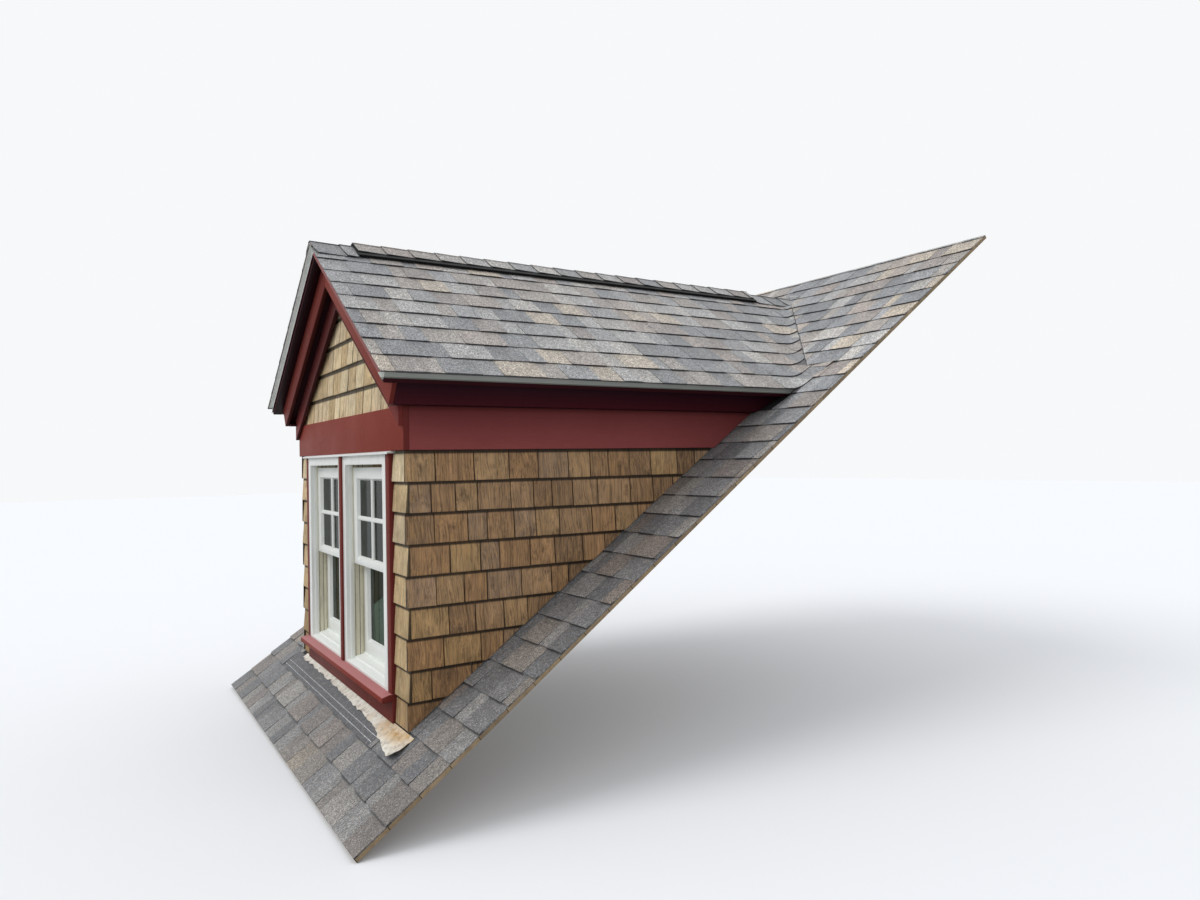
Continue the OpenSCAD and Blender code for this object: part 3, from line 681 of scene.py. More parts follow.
def fold_line(x, t):
    """The unfolded place, as y and s, of a point on the main roof."""
    q = on_main(x, t, 0) - V0
    a, d = q.dot(VALLEY), q.dot(W2)
    c = d - 2 * FOLD_T + FOLD_L
    p = V0 + VALLEY * a + W1 * c
    return p.y, (p - Vector((0, 0, RIDGE_Z)) - N1 * METAL_T).dot(S1)


# The main courses over the dormer's are cut along the line from CUT_A to CUT_B, given as x and t.
# COURSE_A is the lowest course that lies over the dormer's.
CUT_A, CUT_B, CUT_FOOT_T, CUT_EDGES = (-0.042, 3.822), (0.942, 2.757), 2.725, (0.0075, 0.0035)
CUT_SLOPE = (CUT_B[0] - CUT_A[0]) / (CUT_B[1] - CUT_A[1])
CUT_LENGTH = math.hypot(1, CUT_SLOPE)
CUT_C = CUT_SLOPE * CUT_A[1] - CUT_A[0]
CUT_LINES = [(-1, CUT_SLOPE, [CUT_C - d * CUT_LENGTH for d in CUT_EDGES])]
COURSE_A = round((CUT_FOOT_T - MAIN_T0) / EXPO)
T_A = MAIN_T0 + COURSE_A * EXPO

# Foot of the dormer's lowest course on the main roof. The main courses are tucked in under it.
LOW_T, TUCK, EAVE_YS = 2.30, 0.012, (2.15, 2.45)
eave_points = [on_fold(y, EDGE_S, 0) for y in EAVE_YS]
LOWER_EDGE = half_plane(*((p.x, p.dot(T2)) for p in eave_points), (COLLAR_X, LOW_T), TUCK)
MAIN_LIFT, LIFT_REACH = 0.006, 0.25


def cut_x(t):
    return CUT_A[0] + (t - CUT_A[1]) * CUT_SLOPE


def past_cut(x, t):
    """Distance of a point on the main roof from the cut."""
    return (abs(x) - cut_x(t)) / CUT_LENGTH


def main_lift(x, t):
    """The main courses lie over the dormer's along the cut, and come down to the deck at its lower end."""
    return MAIN_LIFT * (1 - ease(past_cut(x, t), 0.0, LIFT_REACH)) * ease(t, T_A - 0.01, T_A + 0.10)


# Roof shingles

SHADES = [(lin(*c), share) for c, share in (
    ((91, 94, 98), 3.0), ((111, 112, 114), 3.4), ((132, 131, 129), 3.4), ((124, 117, 110), 2.8),
    ((110, 102, 97), 2.0), ((150, 138, 121), 1.7), ((144, 140, 134), 2.2), ((83, 86, 90), 2.0),
    ((127, 116, 108), 1.6))]
WASH = lin(130, 129, 127)
# How far a roof's shades are evened out, and how much they are lightened: painted sheen of the sky
MAIN_WASH, DORMER_SHEEN_WASH, DORMER_SHEEN_GAIN, CAP_SHEEN_GAIN = 0.12, 0.30, 1.62, 1.50
JOINT, TINY_TAB, MIN_TAB_W, BUTT_ZONE, BACK_Y = 0.0003, 1e-4, 0.012, 0.02, 3.4
RAISED_W, GROUND_W = (0.085, 0.225), (0.055, 0.165)
RAISED_T, RAISED_HEAD_T, GROUND_T, GROUND_HEAD_T = 0.0098, 0.0028, 0.0063, 0.0024
STRIP_X, STRIP_T = (0.97, 0.74), 0.0052
CHALK_W, CHALK_TOP, CHALK_LOW, CHALK_AT = 0.0024, 0.0063, 0.0040, (0.014, 0.042)


def pick_shade(rng, last):
    """A shade by its share, but not the last one again, a little lighter or darker."""
    while True:
        r = rng.uniform(0, sum(w for _, w in SHADES))
        for i, (c, w) in enumerate(SHADES):
            r -= w
            if r <= 0:
                break
        if i != last:
            g = rng.uniform(0.90, 1.10)
            return i, tuple(k * g for k in c)


def random_seed(rng, reach):
    return tuple(rng.uniform(-reach, reach) for _ in range(3))


def with_painted_sheen(tone, wash, gain):
    """A shade evened out by wash and lightened by gain: painted sheen."""
    return tuple((k + (w - k) * wash) * gain for k, w in zip(tone, WASH))


def main_sheen_gain(t):
    """Painted sheen: the main roof's shades are lightened most beside the valley and the dormer's ridge,
    least at its front.
    """
    return 0.86 + 0.13 * ease(t, -0.1, 0.4) + 0.95 * ease(t, 1.8, 2.6) - 0.33 * ease(t, 3.0, 3.4)


def tabs(rng, u0, u1, wash, gain, last=-1):
    """Splits a course into raised tabs and the lower ground between them."""
    u, raised, out = u0 - rng.uniform(0.0, 0.1), rng.random() < 0.5, []
    while u < u1:
        w = rng.uniform(*(RAISED_W if raised else GROUND_W))
        a, b = max(u, u0), min(u + w, u1)
        if b - a > MIN_TAB_W:
            last, tone = pick_shade(rng, last)
            out.append((a, b, raised, with_painted_sheen(tone, wash, gain)))
        elif out:
            out[-1] = (out[-1][0], b, out[-1][2], out[-1][3])
        u, raised = u + w, not raised
    return out


def under(row, turn=1):
    """How far a place along a course lies under the raised tabs of the course over it."""
    spans = [(a, b) for a, b, raised, _ in row if raised]
    soft = 0.006

    def value(u):
        return max((ease(turn * u, a - soft, a + soft) * (1 - ease(turn * u, b - soft, b + soft))
                    for a, b in spans), default=0.0)
    return value


def lay_tab(shell, rng, poly, butt_v, up, place, raised, tone, cuts=(), lift=None, flat=True, shadow=None,
            ragged=True, valley=None):
    """One tab or ground piece. up is -1 where v grows down the slope, else 1."""
    thick = RAISED_T - 0.0010 * rng.random() if raised else GROUND_T
    thin = RAISED_HEAD_T if raised else GROUND_HEAD_T
    seed = random_seed(rng, 5)
    wave, amp = rng.uniform(0, 100), rng.uniform(0.0006, 0.0016)
    over = rng.uniform(0.0004, 0.0030) if raised else 0.0
    us = [p[0] for p in poly]
    vs = [p[1] for p in poly]
    head_v = butt_v + up * EXPO

    def low(u, v):
        return lift(u, v) if lift else 0.0

    def height(u, v):
        f = 1 - abs(v - butt_v) / EXPO
        h = thin + (thick - thin) * f + amp * wobble(u * 11, wave, v * 9) * (0.2 + f)
        h += 0.0012 * f * wobble(u * 4, butt_v * 31, 1.7)
        return max(h, 0.001) + low(u, v)

    def put(u, v, h):
        near = 1 - min(abs(v - butt_v) / BUTT_ZONE, 1.0)
        if near > 0 and ragged:
            wander = 0.0022 * (1 + wobble(u * 2.6, butt_v * 17, 5.0))
            v = v - up * near * (over + wander + 0.0011 * wobble(u * 45, wave + 9, 0))
        return place(u, v, h)

    def edge(u, v):
        """Painted shadow: dark under the next course's butts, deeper under raised tabs, and along the cut at
        the valley.
        """
        deep = shadow(u) if shadow else 0.0
        reach = 1 - ease(abs(head_v - v), 0.0025 + 0.0045 * deep, 0.006 + 0.011 * deep)
        dark = (0.19 + 0.11 * deep) * reach
        return max(dark, 0.30 * (1 - ease(valley(u, v), 0.0035, 0.007))) if valley else dark

    # Black at the butt faces, partly their cut edge and partly painted shade; the underside a little dark
    def under_edge(u, v):
        return 1.0 if abs(v - butt_v) < 0.004 else 0.13

    cells = [poly]
    for a, b, c in cuts:
        cells = cut_all(cells, a, b, c)
    cells = cut_all(cells, 1, 0, along_cuts(min(us), max(us), 0.03))
    lines = [butt_v + up * BUTT_ZONE, head_v - up * 0.014, head_v - up * 0.005]
    cells = cut_all(cells, 0, 1, [v for v in lines if min(vs) + 0.003 < v < max(vs) - 0.003])
    shell.slab(cells, put, height, low, tone, seed, edge, flat, under_edge)


def dormer_slope(side):
    """One slope's courses, carried past the valley on to the main roof, and the lining under them."""
    rng = random.Random(101 + side)
    shell, lining = Shell(), Shell()
    place = sided(on_fold, side)
    inside = (0, 0.5)
    a, b, c = half_plane(*(fold_line(cut_x(t), t) for t in (3.9, 2.6)), inside)
    course_top = half_plane(*(fold_line(x, T_A + TUCK) for x in (0.9, 1.4)), inside)
    wy, ws = W1.y, S1.dot(W1)
    w0 = unfold(0, 0)[1]
    arc = [(-FOLD_T + FOLD_L * k / 9) - w0 for k in range(10)]
    tucked, lined, low_reach = 0.008, 0.06, 0.30
    count = math.ceil((EDGE_S - 0.004) / EXPO)
    rows = [tabs(rng, SHINGLE_Y, BACK_Y, DORMER_SHEEN_WASH, DORMER_SHEEN_GAIN) for i in range(count)] + [[]]
    for i in range(count):
        s1 = EDGE_S - i * EXPO
        s0 = max(s1 - EXPO, 0.0)
        for y0, y1, raised, tone in rows[i]:
            whole = rect(y0 + JOINT, y1 - JOINT, s0, s1)
            below = clip(whole, *course_top)
            if i > 1:
                parts = [clip(whole, a, b, c + tucked)]
                if i == 2:
                    parts.append(clip(below, -a, -b, -c - tucked))
            else:
                parts = [clip(below, a, b, c + low_reach)]
            for poly in parts:
                if len(poly) > 2 and area(poly) > TINY_TAB:
                    far = max(unfold(u, v)[1] for u, v in poly) > -FOLD_T
                    lay_tab(shell, rng, poly, s1, -1, place, raised, tone, [(wy, ws, arc)] if far else (),
                            flat=not far, shadow=under(rows[i + 1]))
    name = side_name(side)
    shell.build("roof_tabs_" + name, ASPHALT, "asphalt", "roof_shingles_" + name)
    strip = clip(clip(rect(1.6, BACK_Y, 0.02, EDGE_S - EXPO - 0.01), a, b, c + lined), -a, -b, lined - c)
    lining.plate(slices(strip, wy, ws, arc), place, 0.0012, 0.0002, lin(70, 72, 76), (3.0, 1.0, 2.0), False)
    lining.build("valley_lining_" + name, ASPHALT, "asphalt")


def plain_strip(shell, t0, t1):
    """The dark strip without tabs in front of the windows, with two chalky lines along it."""
    x0, x1 = -STRIP_X[0], STRIP_X[1]
    cells = slices(rect(x0, x1, t0 - 0.004, t1), 1, 0, along_cuts(x0, x1, 0.06))
    shell.slab(cut_all(cells, 0, 1, [t0 + 0.02, t0 + 0.05]), on_main,
               lambda u, v: STRIP_T + 0.0007 * wobble(u * 5, v * 20, 4),
               lambda u, v: 0.0, lin(58, 61, 67), (2.0, 1.0, 3.0))
    for at in CHALK_AT:
        line = rect(x0 + 0.01, x1 - 0.01, t0 + at, t0 + at + CHALK_W)
        cells = slices(line, 1, 0, along_cuts(x0, x1, 0.03))
        shell.plate(cells, lambda u, v, h: on_main(u, v + 0.0016 * wobble(u * 9, 2, 0), h),
                    CHALK_TOP, CHALK_LOW, lin(188, 190, 192), (1.0, 2.0, 3.0))


def main_courses():
    """The main roof's courses on both sides, in front of and above the dormer."""
    sides = {-1: Shell(), 1: Shell()}
    front, top = Shell(), Shell()
    rng = random.Random(7)
    wall_t0 = -WALL_BUTT / math.cos(MP)
    count = math.ceil((MAIN_T1 - 0.003 - MAIN_T0) / EXPO)
    rows = [tabs(rng, -COLLAR_X, COLLAR_X, MAIN_WASH, main_sheen_gain(MAIN_T0 + k * EXPO)) for k in range(count)]
    rows.append([])
    for k in range(count):
        t0 = MAIN_T0 + k * EXPO
        t1 = min(t0 + EXPO, MAIN_T1)
        high = k >= COURSE_A
        if t0 < wall_t0:
            shadow = under(rows[k + 1]) if t1 < 0 else None
            for u0, u1, raised, tone in rows[k]:
                spans = [(u0, u1)]
                if t1 > 0 and u1 > -STRIP_X[0] and u0 < STRIP_X[1]:
                    spans = [(u0, -STRIP_X[0]), (STRIP_X[1], u1)]
                for a, b in spans:
                    if b - a > 0.02 or len(spans) == 1:
                        lay_tab(front, rng, rect(a + JOINT, b - JOINT, t0, min(t1, wall_t0)), t0, 1, on_main,
                                raised, tone, shadow=shadow, ragged=k > 0)
            if t1 > 0:
                plain_strip(front, t0, wall_t0)
        a0 = max(t0, wall_t0)
        if t1 <= a0 + 0.002:
            continue
        if high and cut_x(t0) <= 0:
            for u0, u1, raised, tone in rows[k]:
                lay_tab(top, rng, rect(u0 + JOINT, u1 - JOINT, t0, t1), t0, 1, on_main, raised, tone,
                        lift=main_lift, flat=False, shadow=under(rows[k + 1]))
            continue
        for side in (-1, 1):
            start = max(cut_x(t1), 0.0) if high else WALL_X + 0.002
            shadow = under(rows[k + 1], side)
            for u0, u1, raised, tone in rows[k]:
                u0, u1 = (u0, u1) if side > 0 else (-u1, -u0)
                u0 = max(u0, start)
                if u1 - u0 < 0.002:
                    continue
                poly = rect(u0 + JOINT, u1 - JOINT, a0, t1)
                if high:
                    poly = clip(poly, -1, CUT_SLOPE, CUT_C)
                elif t1 > LOW_T:
                    poly = clip(poly, *LOWER_EDGE)
                if len(poly) > 2 and area(poly) > TINY_TAB:
                    lay_tab(top if high and u0 <= WALL_X else sides[side], rng, poly, t0, 1,
                            sided(on_main, side), raised, tone, CUT_LINES if high else (),
                            lift=main_lift if high else None, flat=not high, shadow=shadow,
                            valley=past_cut if high else None)
    front.build("main_tabs_front", ASPHALT, "asphalt", "collar_shingles_front")
    sides[-1].build("main_tabs_left", ASPHALT, "asphalt", "collar_shingles_left")
    sides[1].build("main_tabs_right", ASPHALT, "asphalt", "collar_shingles_right")
    top.build("main_tabs_top", ASPHALT, "asphalt", "collar_shingles_top")


dormer_slope(-1)
dormer_slope(1)
main_courses()


# Ridge shingles and vent

CAP_R, CAP_T, CAP_OVER_VENT, CAP_LAP, CAP_OFF_DECK = 0.03, 0.0034, 0.110, 0.012, 0.006
CAP_CUTS = [-0.095, -0.07, -0.045, 0.045, 0.07, 0.095] + [0.018 * k / 4 for k in range(-4, 5)]
VENT_SHEET, BAFFLE_STEP, BAFFLE_T, BAFFLE_W, VENT_WALL, VENT_END = 0.003, 0.0125, 0.0035, 0.030, 0.003, 0.005


def on_cap(w, y, h):
    """Point over the dormer's ridge, w across it, with a rounded fold."""
    s = abs(w)
    half = CAP_R * RP
    tangent = CAP_R * math.tan(RP / 2)
    crown = Vector((0, y, RIDGE_Z))
    if s > half:
        p = crown + S1 * (s - half + tangent) + N1 * (METAL_T + BUTT + h)
    else:
        phi = s / CAP_R
        centre = crown + S1 * tangent - N1 * CAP_R
        centre.x = 0
        p = centre + Vector((math.sin(phi), 0, math.cos(phi))) * (CAP_R + METAL_T + BUTT + h)
    return Vector((-p.x, p.y, p.z)) if w < 0 else p


def ridge_caps():
    """Ridge shingles in front of the vent, on it and behind it, bent up where they meet the main roof."""
    rng = random.Random(23)
    shell = Shell()
    vent_end = RIDGE_END_Y - VENT_STOP
    runs = [(SHINGLE_Y, VENT_START, 0.0), (VENT_START, vent_end, VENT_H), (vent_end, RIDGE_END_Y + 0.05, 0.0)]
    for y, y_last, rise in runs:
        while y < y_last - 0.02:
            y1 = min(y + EXPO + CAP_LAP, y_last)
            tone = with_painted_sheen(pick_shade(rng, -1)[1], DORMER_SHEEN_WASH, CAP_SHEEN_GAIN)
            seed = random_seed(rng, 5)
            sag, tilt = rng.uniform(0.0, 0.0016), rng.uniform(-0.0012, 0.0012)
            w = (CAP_W if rise == 0.0 else CAP_OVER_VENT) - rng.uniform(0.0, 0.003)

            def top(u, v):
                f = 1 - (v - y) / EXPO
                wavy = 0.0014 * wobble(u * 16, v * 12, seed[0])
                crown = ease(abs(u), 0.0, 0.04)
                return rise + CAP_T + (CAP_BUTT + 0.002 * crown - CAP_T) * f + wavy * f * crown \
                    + tilt * u / CAP_W * f - sag * (abs(u) / CAP_W) ** 2

            def low(u, v):
                return top(u, v) - CAP_T - 0.0006 * max(1 - (v - y) / EXPO, 0.0)

            def put(u, v, h):
                near = max(1 - (v - y) / 0.03, 0.0)
                bow = 0.014 * (abs(u) / CAP_W) ** 4 * near
                p = on_cap(u, v + bow + 0.0012 * near * wobble(u * 40, seed[1], 0), h)
                return p + N2 * max(0.0, DECK_T + CAP_OFF_DECK + h - p.dot(N2))

            cells = cut_all(slices(rect(-w, w, y, y1), 1, 0, CAP_CUTS), 0, 1, along_cuts(y, y1, 0.05))
            shell.slab(cells, put, top, low, tone, seed, flat=False)
            y += EXPO
    shell.build("ridge_cap_shingles", ASPHALT, "asphalt", "ridge_caps")


def ridge_vent():
    """Two sheets over rows of baffles, with closed ends and an inner wall."""
    shell = Shell()
    y0, y1 = VENT_START, RIDGE_END_Y - VENT_STOP
    inner = VENT_W - BAFFLE_W - 0.001
    for side in (-1, 1):
        place = sided(on_cap, side)
        sheet = slices(rect(0.002, VENT_W, y0, y1), 1, 0, [0.01, 0.03, VENT_W - 0.006])
        shell.plate(sheet, place, VENT_H, VENT_H - VENT_SHEET, flat=False)
        strips, y = [], y0
        while y < y1 - 0.004:
            strips.append(rect(VENT_W - BAFFLE_W, VENT_W - 0.001, y, y + BAFFLE_T))
            y += BAFFLE_STEP
        strips += [rect(0.03, inner, ya, ya + VENT_END) for ya in (y0 + 0.001, y1 - VENT_END - 0.001)]
        strips.append(rect(inner - VENT_WALL, inner, y0 + VENT_END + 0.002, y1 - VENT_END - 0.002))
        for strip in strips:
            shell.plate([strip], place, VENT_H - VENT_SHEET, 0.0004)
    shell.build("ridge_vent_baffles", VENT, "vent_plastic", "ridge_vent")


ridge_caps()
ridge_vent()


# Wall shingles

BROWN_SHADES = [lin(*c) for c in ((167, 134, 100), (155, 122, 89), (178, 144, 105), (143, 113, 83),
                                  (170, 132, 94), (160, 131, 103), (176, 143, 101))]
PALE_SHADES = [lin(*c) for c in ((212, 190, 150), (202, 176, 134), (220, 200, 162), (194, 168, 126),
                                 (208, 186, 150))]
WALL_GAP, WALL_BACK, TINY_SHINGLE = 0.003, 0.0012, 6e-5


def lay_wall(shell, rng, u0, u1, z0, place, bounds, widths, shades, foot=1.0, head=0.018):
    """One course of wedge shingles, clipped by the half planes in bounds.

    foot darkens the lowest courses, and head is the width of the shadow under the next course.
    """
    z1 = z0 + WALL_EXPO
    u = u0
    while u < u1 - 0.002:
        w = rng.uniform(*widths)
        if u1 - (u + w) < widths[0] * 0.55:
            w = u1 - u
        w = min(w, u1 - u)
        g = rng.uniform(0.7, 1.4) * WALL_GAP
        drop = rng.uniform(0.0, 0.0022)
        a, b = u + (g / 2 if u > u0 else 0.0), u + w - (g / 2 if u + w < u1 - 1e-6 else 0.0)
        poly = rect(a, b, z0 - drop, z1)
        for bound in bounds:
            poly = clip(poly, *bound) if len(poly) > 2 else poly
        if len(poly) > 2 and area(poly) > TINY_SHINGLE:
            base = shades[rng.randrange(len(shades))]
            k = rng.uniform(0.86, 1.14)
            low = foot + (1 - foot) * ease(z0, -0.05, 0.60)
            tone = tuple(c * k * low ** power for c, power in zip(base, (0.75, 1.0, 1.35)))
            seed = random_seed(rng, 4)
            butt = WALL_BUTT - rng.uniform(0.0, 0.0028)
            cup = rng.uniform(-0.0010, 0.0016)
            lean = rng.uniform(-0.0008, 0.0008)
            rough = rng.uniform(0.00018, 0.0005)

            def top(x, z):
                f = min(max((z - z0) / WALL_EXPO, 0.0), 1.0)
                m = (2 * (x - a) / (b - a) - 1) if b > a else 0
                h = butt + (WALL_LAP - butt) * f + (cup * m * m + lean * m) * (1 - f)
                h += rough * wobble(x * 190 + seed[0], z * 5, seed[1])
                h += 0.0004 * wobble(x * 45 + seed[0], z * 14, seed[2])
                h -= 0.0012 * (1 - ease(min(x - a, b - x), 0.0, 0.0022))
                h -= 0.0009 * (1 - ease(z - z0 + drop, 0.0, 0.002))
                return min(h, WALL_BUTT)

            # Dark joints and butt ends, and painted shadow under the next course's butts
            def edge(x, z):
                joint = 1 - ease(min(x - a, b - x), 0.0, 0.0026)
                butt_line = 1 - ease(z - z0 + drop, 0.0, 0.0016)
                shadow = ease(z, z1 - head, z1 - head + 0.008)
                return min(1.0, 0.6 * joint + 0.3 * butt_line + 0.95 * shadow)

            cuts_u = [a + 0.0012, a + 0.0028, a + 0.006] + along_cuts(a + 0.006, b - 0.006, 0.0085) \
                + [b - 0.006, b - 0.0028, b - 0.0012]
            cuts_z = [z0 - drop + 0.001, z0 + 0.004, z0 + 0.045, z0 + 0.085, z1 - head, z1 - head + 0.007,
                      z1 - 0.005]
            cells = cut_all(slices(poly, 1, 0, cuts_u), 0, 1, cuts_z)
            shell.slab(cells, place, top, lambda x, z: WALL_BACK, tone, seed, edge)
        u += w


def cheek(side):
    """One cheek, its courses cut along the main roof and lapped at the front corner by turns."""
    rng = random.Random(311 + side)
    shell = Shell()
    slope = math.tan(MP)
    gap = (MAIN_TOP + REST_GAP) / math.cos(MP)
    bounds = [(slope, -1, -gap - 0.002)]
    for i in range(WALL_COURSES):
        z0 = COURSE_Z0 + i * WALL_EXPO
        y_end = (z0 + WALL_EXPO - gap) / slope
        y_start = -WALL_BUTT if i % 2 else 0.0005
        if y_end > y_start + 0.01:
            lay_wall(shell, rng, y_start, y_end, z0, lambda y, z, h: Vector((side * (WALL_X + h), y, z)),
                     bounds, (0.085, 0.185), BROWN_SHADES, 0.76)
    name = side_name(side)
    shell.build("cheek_cedar_" + name, CEDAR_BROWN, "cedar_brown", "cheek_shingles_" + name, smooth=50.0)


def front_strips():
    """The narrow walls beside the window casings."""
    rng = random.Random(53)
    shell = Shell()
    low = main_z(-WALL_BUTT, MAIN_TOP + REST_GAP + METAL_T) + 0.001
    for side in (-1, 1):
        for i in range(WALL_COURSES):
            z0 = COURSE_Z0 + i * WALL_EXPO
            if z0 + WALL_EXPO > low + 0.01:
                end = WALL_X - 0.0005 if i % 2 else WALL_X + WALL_BUTT - 0.001
                lay_wall(shell, rng, CASING_X + 0.0015, end, z0, lambda x, z, h: Vector((side * x, -h, z)),
                         [(0, -1, -low)], (0.150, 0.180), PALE_SHADES, 0.46)
    shell.build("front_cedar", CEDAR_LIGHT, "cedar_light", "front_shingles", smooth=50.0)


def gable_wall():
    """The wall over the frieze, cut along the rake friezes."""
    rng = random.Random(77)
    shell = Shell()
    t = math.tan(RP)
    peak = roof_z(0, -BOARD_N + SOFFIT_RISE) - 0.0006
    bounds = [(t, 1, peak), (-t, 1, peak), (0, -1, -FRIEZE_TOP - 0.0005)]
    for i in range(math.ceil((peak - FRIEZE_TOP) / WALL_EXPO)):
        z0 = FRIEZE_TOP + i * WALL_EXPO
        half = min(WALL_X, (peak - z0) / t)
        lay_wall(shell, rng, -half, half, z0, lambda x, z, h: Vector((x, -h, z)), bounds, (0.075, 0.165),
                 PALE_SHADES, head=0.023)
    shell.build("gable_cedar", CEDAR_LIGHT, "cedar_light", "gable_shingles", smooth=50.0)


cheek(-1)
cheek(1)
front_strips()
gable_wall()


# Boards and frames with eased edges, made from the CAD solids

def eased(node, name, material, slot, radius):
    """A copy of a CAD solid with bevelled edges, in its place."""
    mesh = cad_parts[node].data.copy()
    mesh.name = name
    bm = bmesh.new()
    bm.from_mesh(mesh)
    bmesh.ops.remove_doubles(bm, verts=bm.verts, dist=1e-5)
    bmesh.ops.dissolve_limit(bm, angle_limit=math.radians(1), verts=bm.verts, edges=bm.edges)
    sharp = [e for e in bm.edges if len(e.link_faces) == 2 and e.calc_face_angle(0) > math.radians(25)]
    bmesh.ops.bevel(bm, geom=sharp, offset=radius, offset_type="OFFSET", segments=2, profile=0.5,
                    affect="EDGES", clamp_overlap=True)
    bmesh.ops.recalc_face_normals(bm, faces=bm.faces)
    bm.to_mesh(mesh)
    bm.free()
    piece(name, mesh, 50.0, material, slot, node)


for node, name, mat, slot, r in (
        ("frieze_front", "frieze_board_front", RED, "red_paint", 0.002),
        ("frieze_left", "frieze_board_left", FRIEZE_SIDE_RED, "maroon_paint", 0.002),
        ("frieze_right", "frieze_board_right", FRIEZE_SIDE_RED, "maroon_paint", 0.002),
        ("eave_fascia_left", "fascia_board_left", SHADED_FASCIA, "maroon_paint", 0.002),
        ("eave_fascia_right", "fascia_board_right", SHADED_FASCIA, "maroon_paint", 0.002),
        ("eave_mould", "eave_moulding", SHADED_MAROON, "maroon_paint", 0.004),
        ("rake_mould", "rake_moulding", SHADED_MAROON, "maroon_paint", 0.004),
        # The left bargeboard has the darker casing paint: painted shade
        ("rake_board_left", "bargeboard_left", CASING_RED, "red_paint", 0.002),
        ("rake_board_right", "bargeboard_right", RED, "red_paint", 0.002),
        ("rake_frieze", "rake_frieze_board", SHADED_DEEP_RED, "red_paint", 0.002),
        ("window_casings", "side_casings", CASING_RED, "red_paint", 0.002),
        ("window_sill", "projecting_sill", RED, "red_paint", 0.003),
        ("apron_board", "apron_trim", SHADED_RED, "red_paint", 0.002),
        ("head_flashing", "head_cap", HEAD_WHITE, "white_metal", 0.0005),
        ("window_frame_left", "outer_frame_left", WHITE, "white_paint", 0.0016),
        ("window_frame_right", "outer_frame_right", WHITE, "white_paint", 0.0016),
        ("upper_sashes", "sash_upper_pair", WHITE, "white_paint", 0.0014),
        ("lower_sashes", "sash_lower_pair", WHITE, "white_paint", 0.0014)):
    eased(node, name, mat, slot, r)


# Glazing beads and the bars of the upper sashes

SASH_INSET = JAMB_W + TRACK_W + SASH_GAP + STILE_W
OPEN_X = (UNIT_X + SASH_INSET, UNIT_X + UNIT_W - SASH_INSET)
UPPER_Z, LOWER_Z = (0.652, 1.035), (0.2445, 0.620)
UPPER_GLASS, LOWER_GLASS = (0.026, 0.030), (0.0705, 0.0745)
UPPER_FACES, LOWER_FACES, BAR_FACES = (0.0135, 0.0425), (0.058, 0.087), (0.0145, 0.0415)
BEAD_W, BAR_HALF, BAR_CHAMFER, BAR_END, OFF_GLASS, PROUD = 0.009, 0.011, 0.005, 0.002, 0.0001, 0.0004


def bead_ring(shell, side, zs, y_glass, y_out):
    """A mitred bead of triangular section round a pane."""
    rings = []
    for inset, y in ((0.0, y_glass), (BEAD_W, y_glass), (0.0015, y_out), (0.0, y_out)):
        corners = rect(OPEN_X[0] + inset, OPEN_X[1] - inset, zs[0] + inset, zs[1] - inset)
        rings.append([(side * x, y, z) for x, z in corners])
    shell.ringed(rings, True)


def bar(shell, side, x0, x1, z0, z1, y_glass, y_out, vertical):
    """A glazing bar with chamfered edges, its foot on the glass."""
    rings = []
    for inset, y in ((0.0, y_glass), (0.0, y_glass + (y_out - y_glass) * 0.45), (BAR_CHAMFER, y_out)):
        ix, iz = (inset, 0.0) if vertical else (0.0, inset)
        rings.append([(side * x, y, z) for x, z in rect(x0 + ix, x1 - ix, z0 + iz, z1 - iz)])
    shell.ringed(rings, False)


beads, bars = Shell(), Shell()
for side in (-1, 1):
    for zs, glass, faces in ((UPPER_Z, UPPER_GLASS, UPPER_FACES), (LOWER_Z, LOWER_GLASS, LOWER_FACES)):
        bead_ring(beads, side, zs, glass[0] - OFF_GLASS, faces[0])
        bead_ring(beads, side, zs, glass[1] + OFF_GLASS, faces[1])
    xm, zm = sum(OPEN_X) / 2, sum(UPPER_Z) / 2
    x0, x1 = OPEN_X[0] + BAR_END, OPEN_X[1] - BAR_END
    z0, z1 = UPPER_Z[0] + BAR_END, UPPER_Z[1] - BAR_END
    for out_way, glass, face in zip((-1, 1), UPPER_GLASS, BAR_FACES):
        foot = glass + out_way * OFF_GLASS
        bar(bars, side, xm - BAR_HALF, xm + BAR_HALF, z0, z1, foot, face + out_way * PROUD, True)
        bar(bars, side, x0, x1, zm - BAR_HALF, zm + BAR_HALF, foot, face, False)
beads.build("glazing_beads", WHITE, "white_paint")
bars.build("sash_bars", WHITE, "white_paint")


# Metal plate under the shingles' overhang along the rakes, with a small hem at its outer edge

PLATE_TOP, PLATE_LOW, HEM_LOW, HEM_W = -0.0003, -0.0013, -0.0045, 0.0012


def rake_plates():
    """The plates on both slopes and their hems."""
    shell = Shell()
    outer, inner, long = SHINGLE_Y + 0.005, MOULD_Y - 0.0006, SLOPE_L + METAL_T + 0.004
    for side in (-1, 1):
        place = sided(lambda u, v, h: on_dormer(v, u, h), side)
        for y0, y1, top, low in ((outer, inner, PLATE_TOP, PLATE_LOW),
                                 (outer, outer + HEM_W, PLATE_LOW, HEM_LOW)):
            cells = slices(rect(0.0, long, y0, y1), 1, 0, along_cuts(0.0, long, 0.2))
            shell.plate(cells, place, top, low)
    shell.build("rake_edge_plates", PLATE, "drip_metal")


rake_plates()


# Torn membrane under the apron board: places across the front, and how far the sheet reaches out there

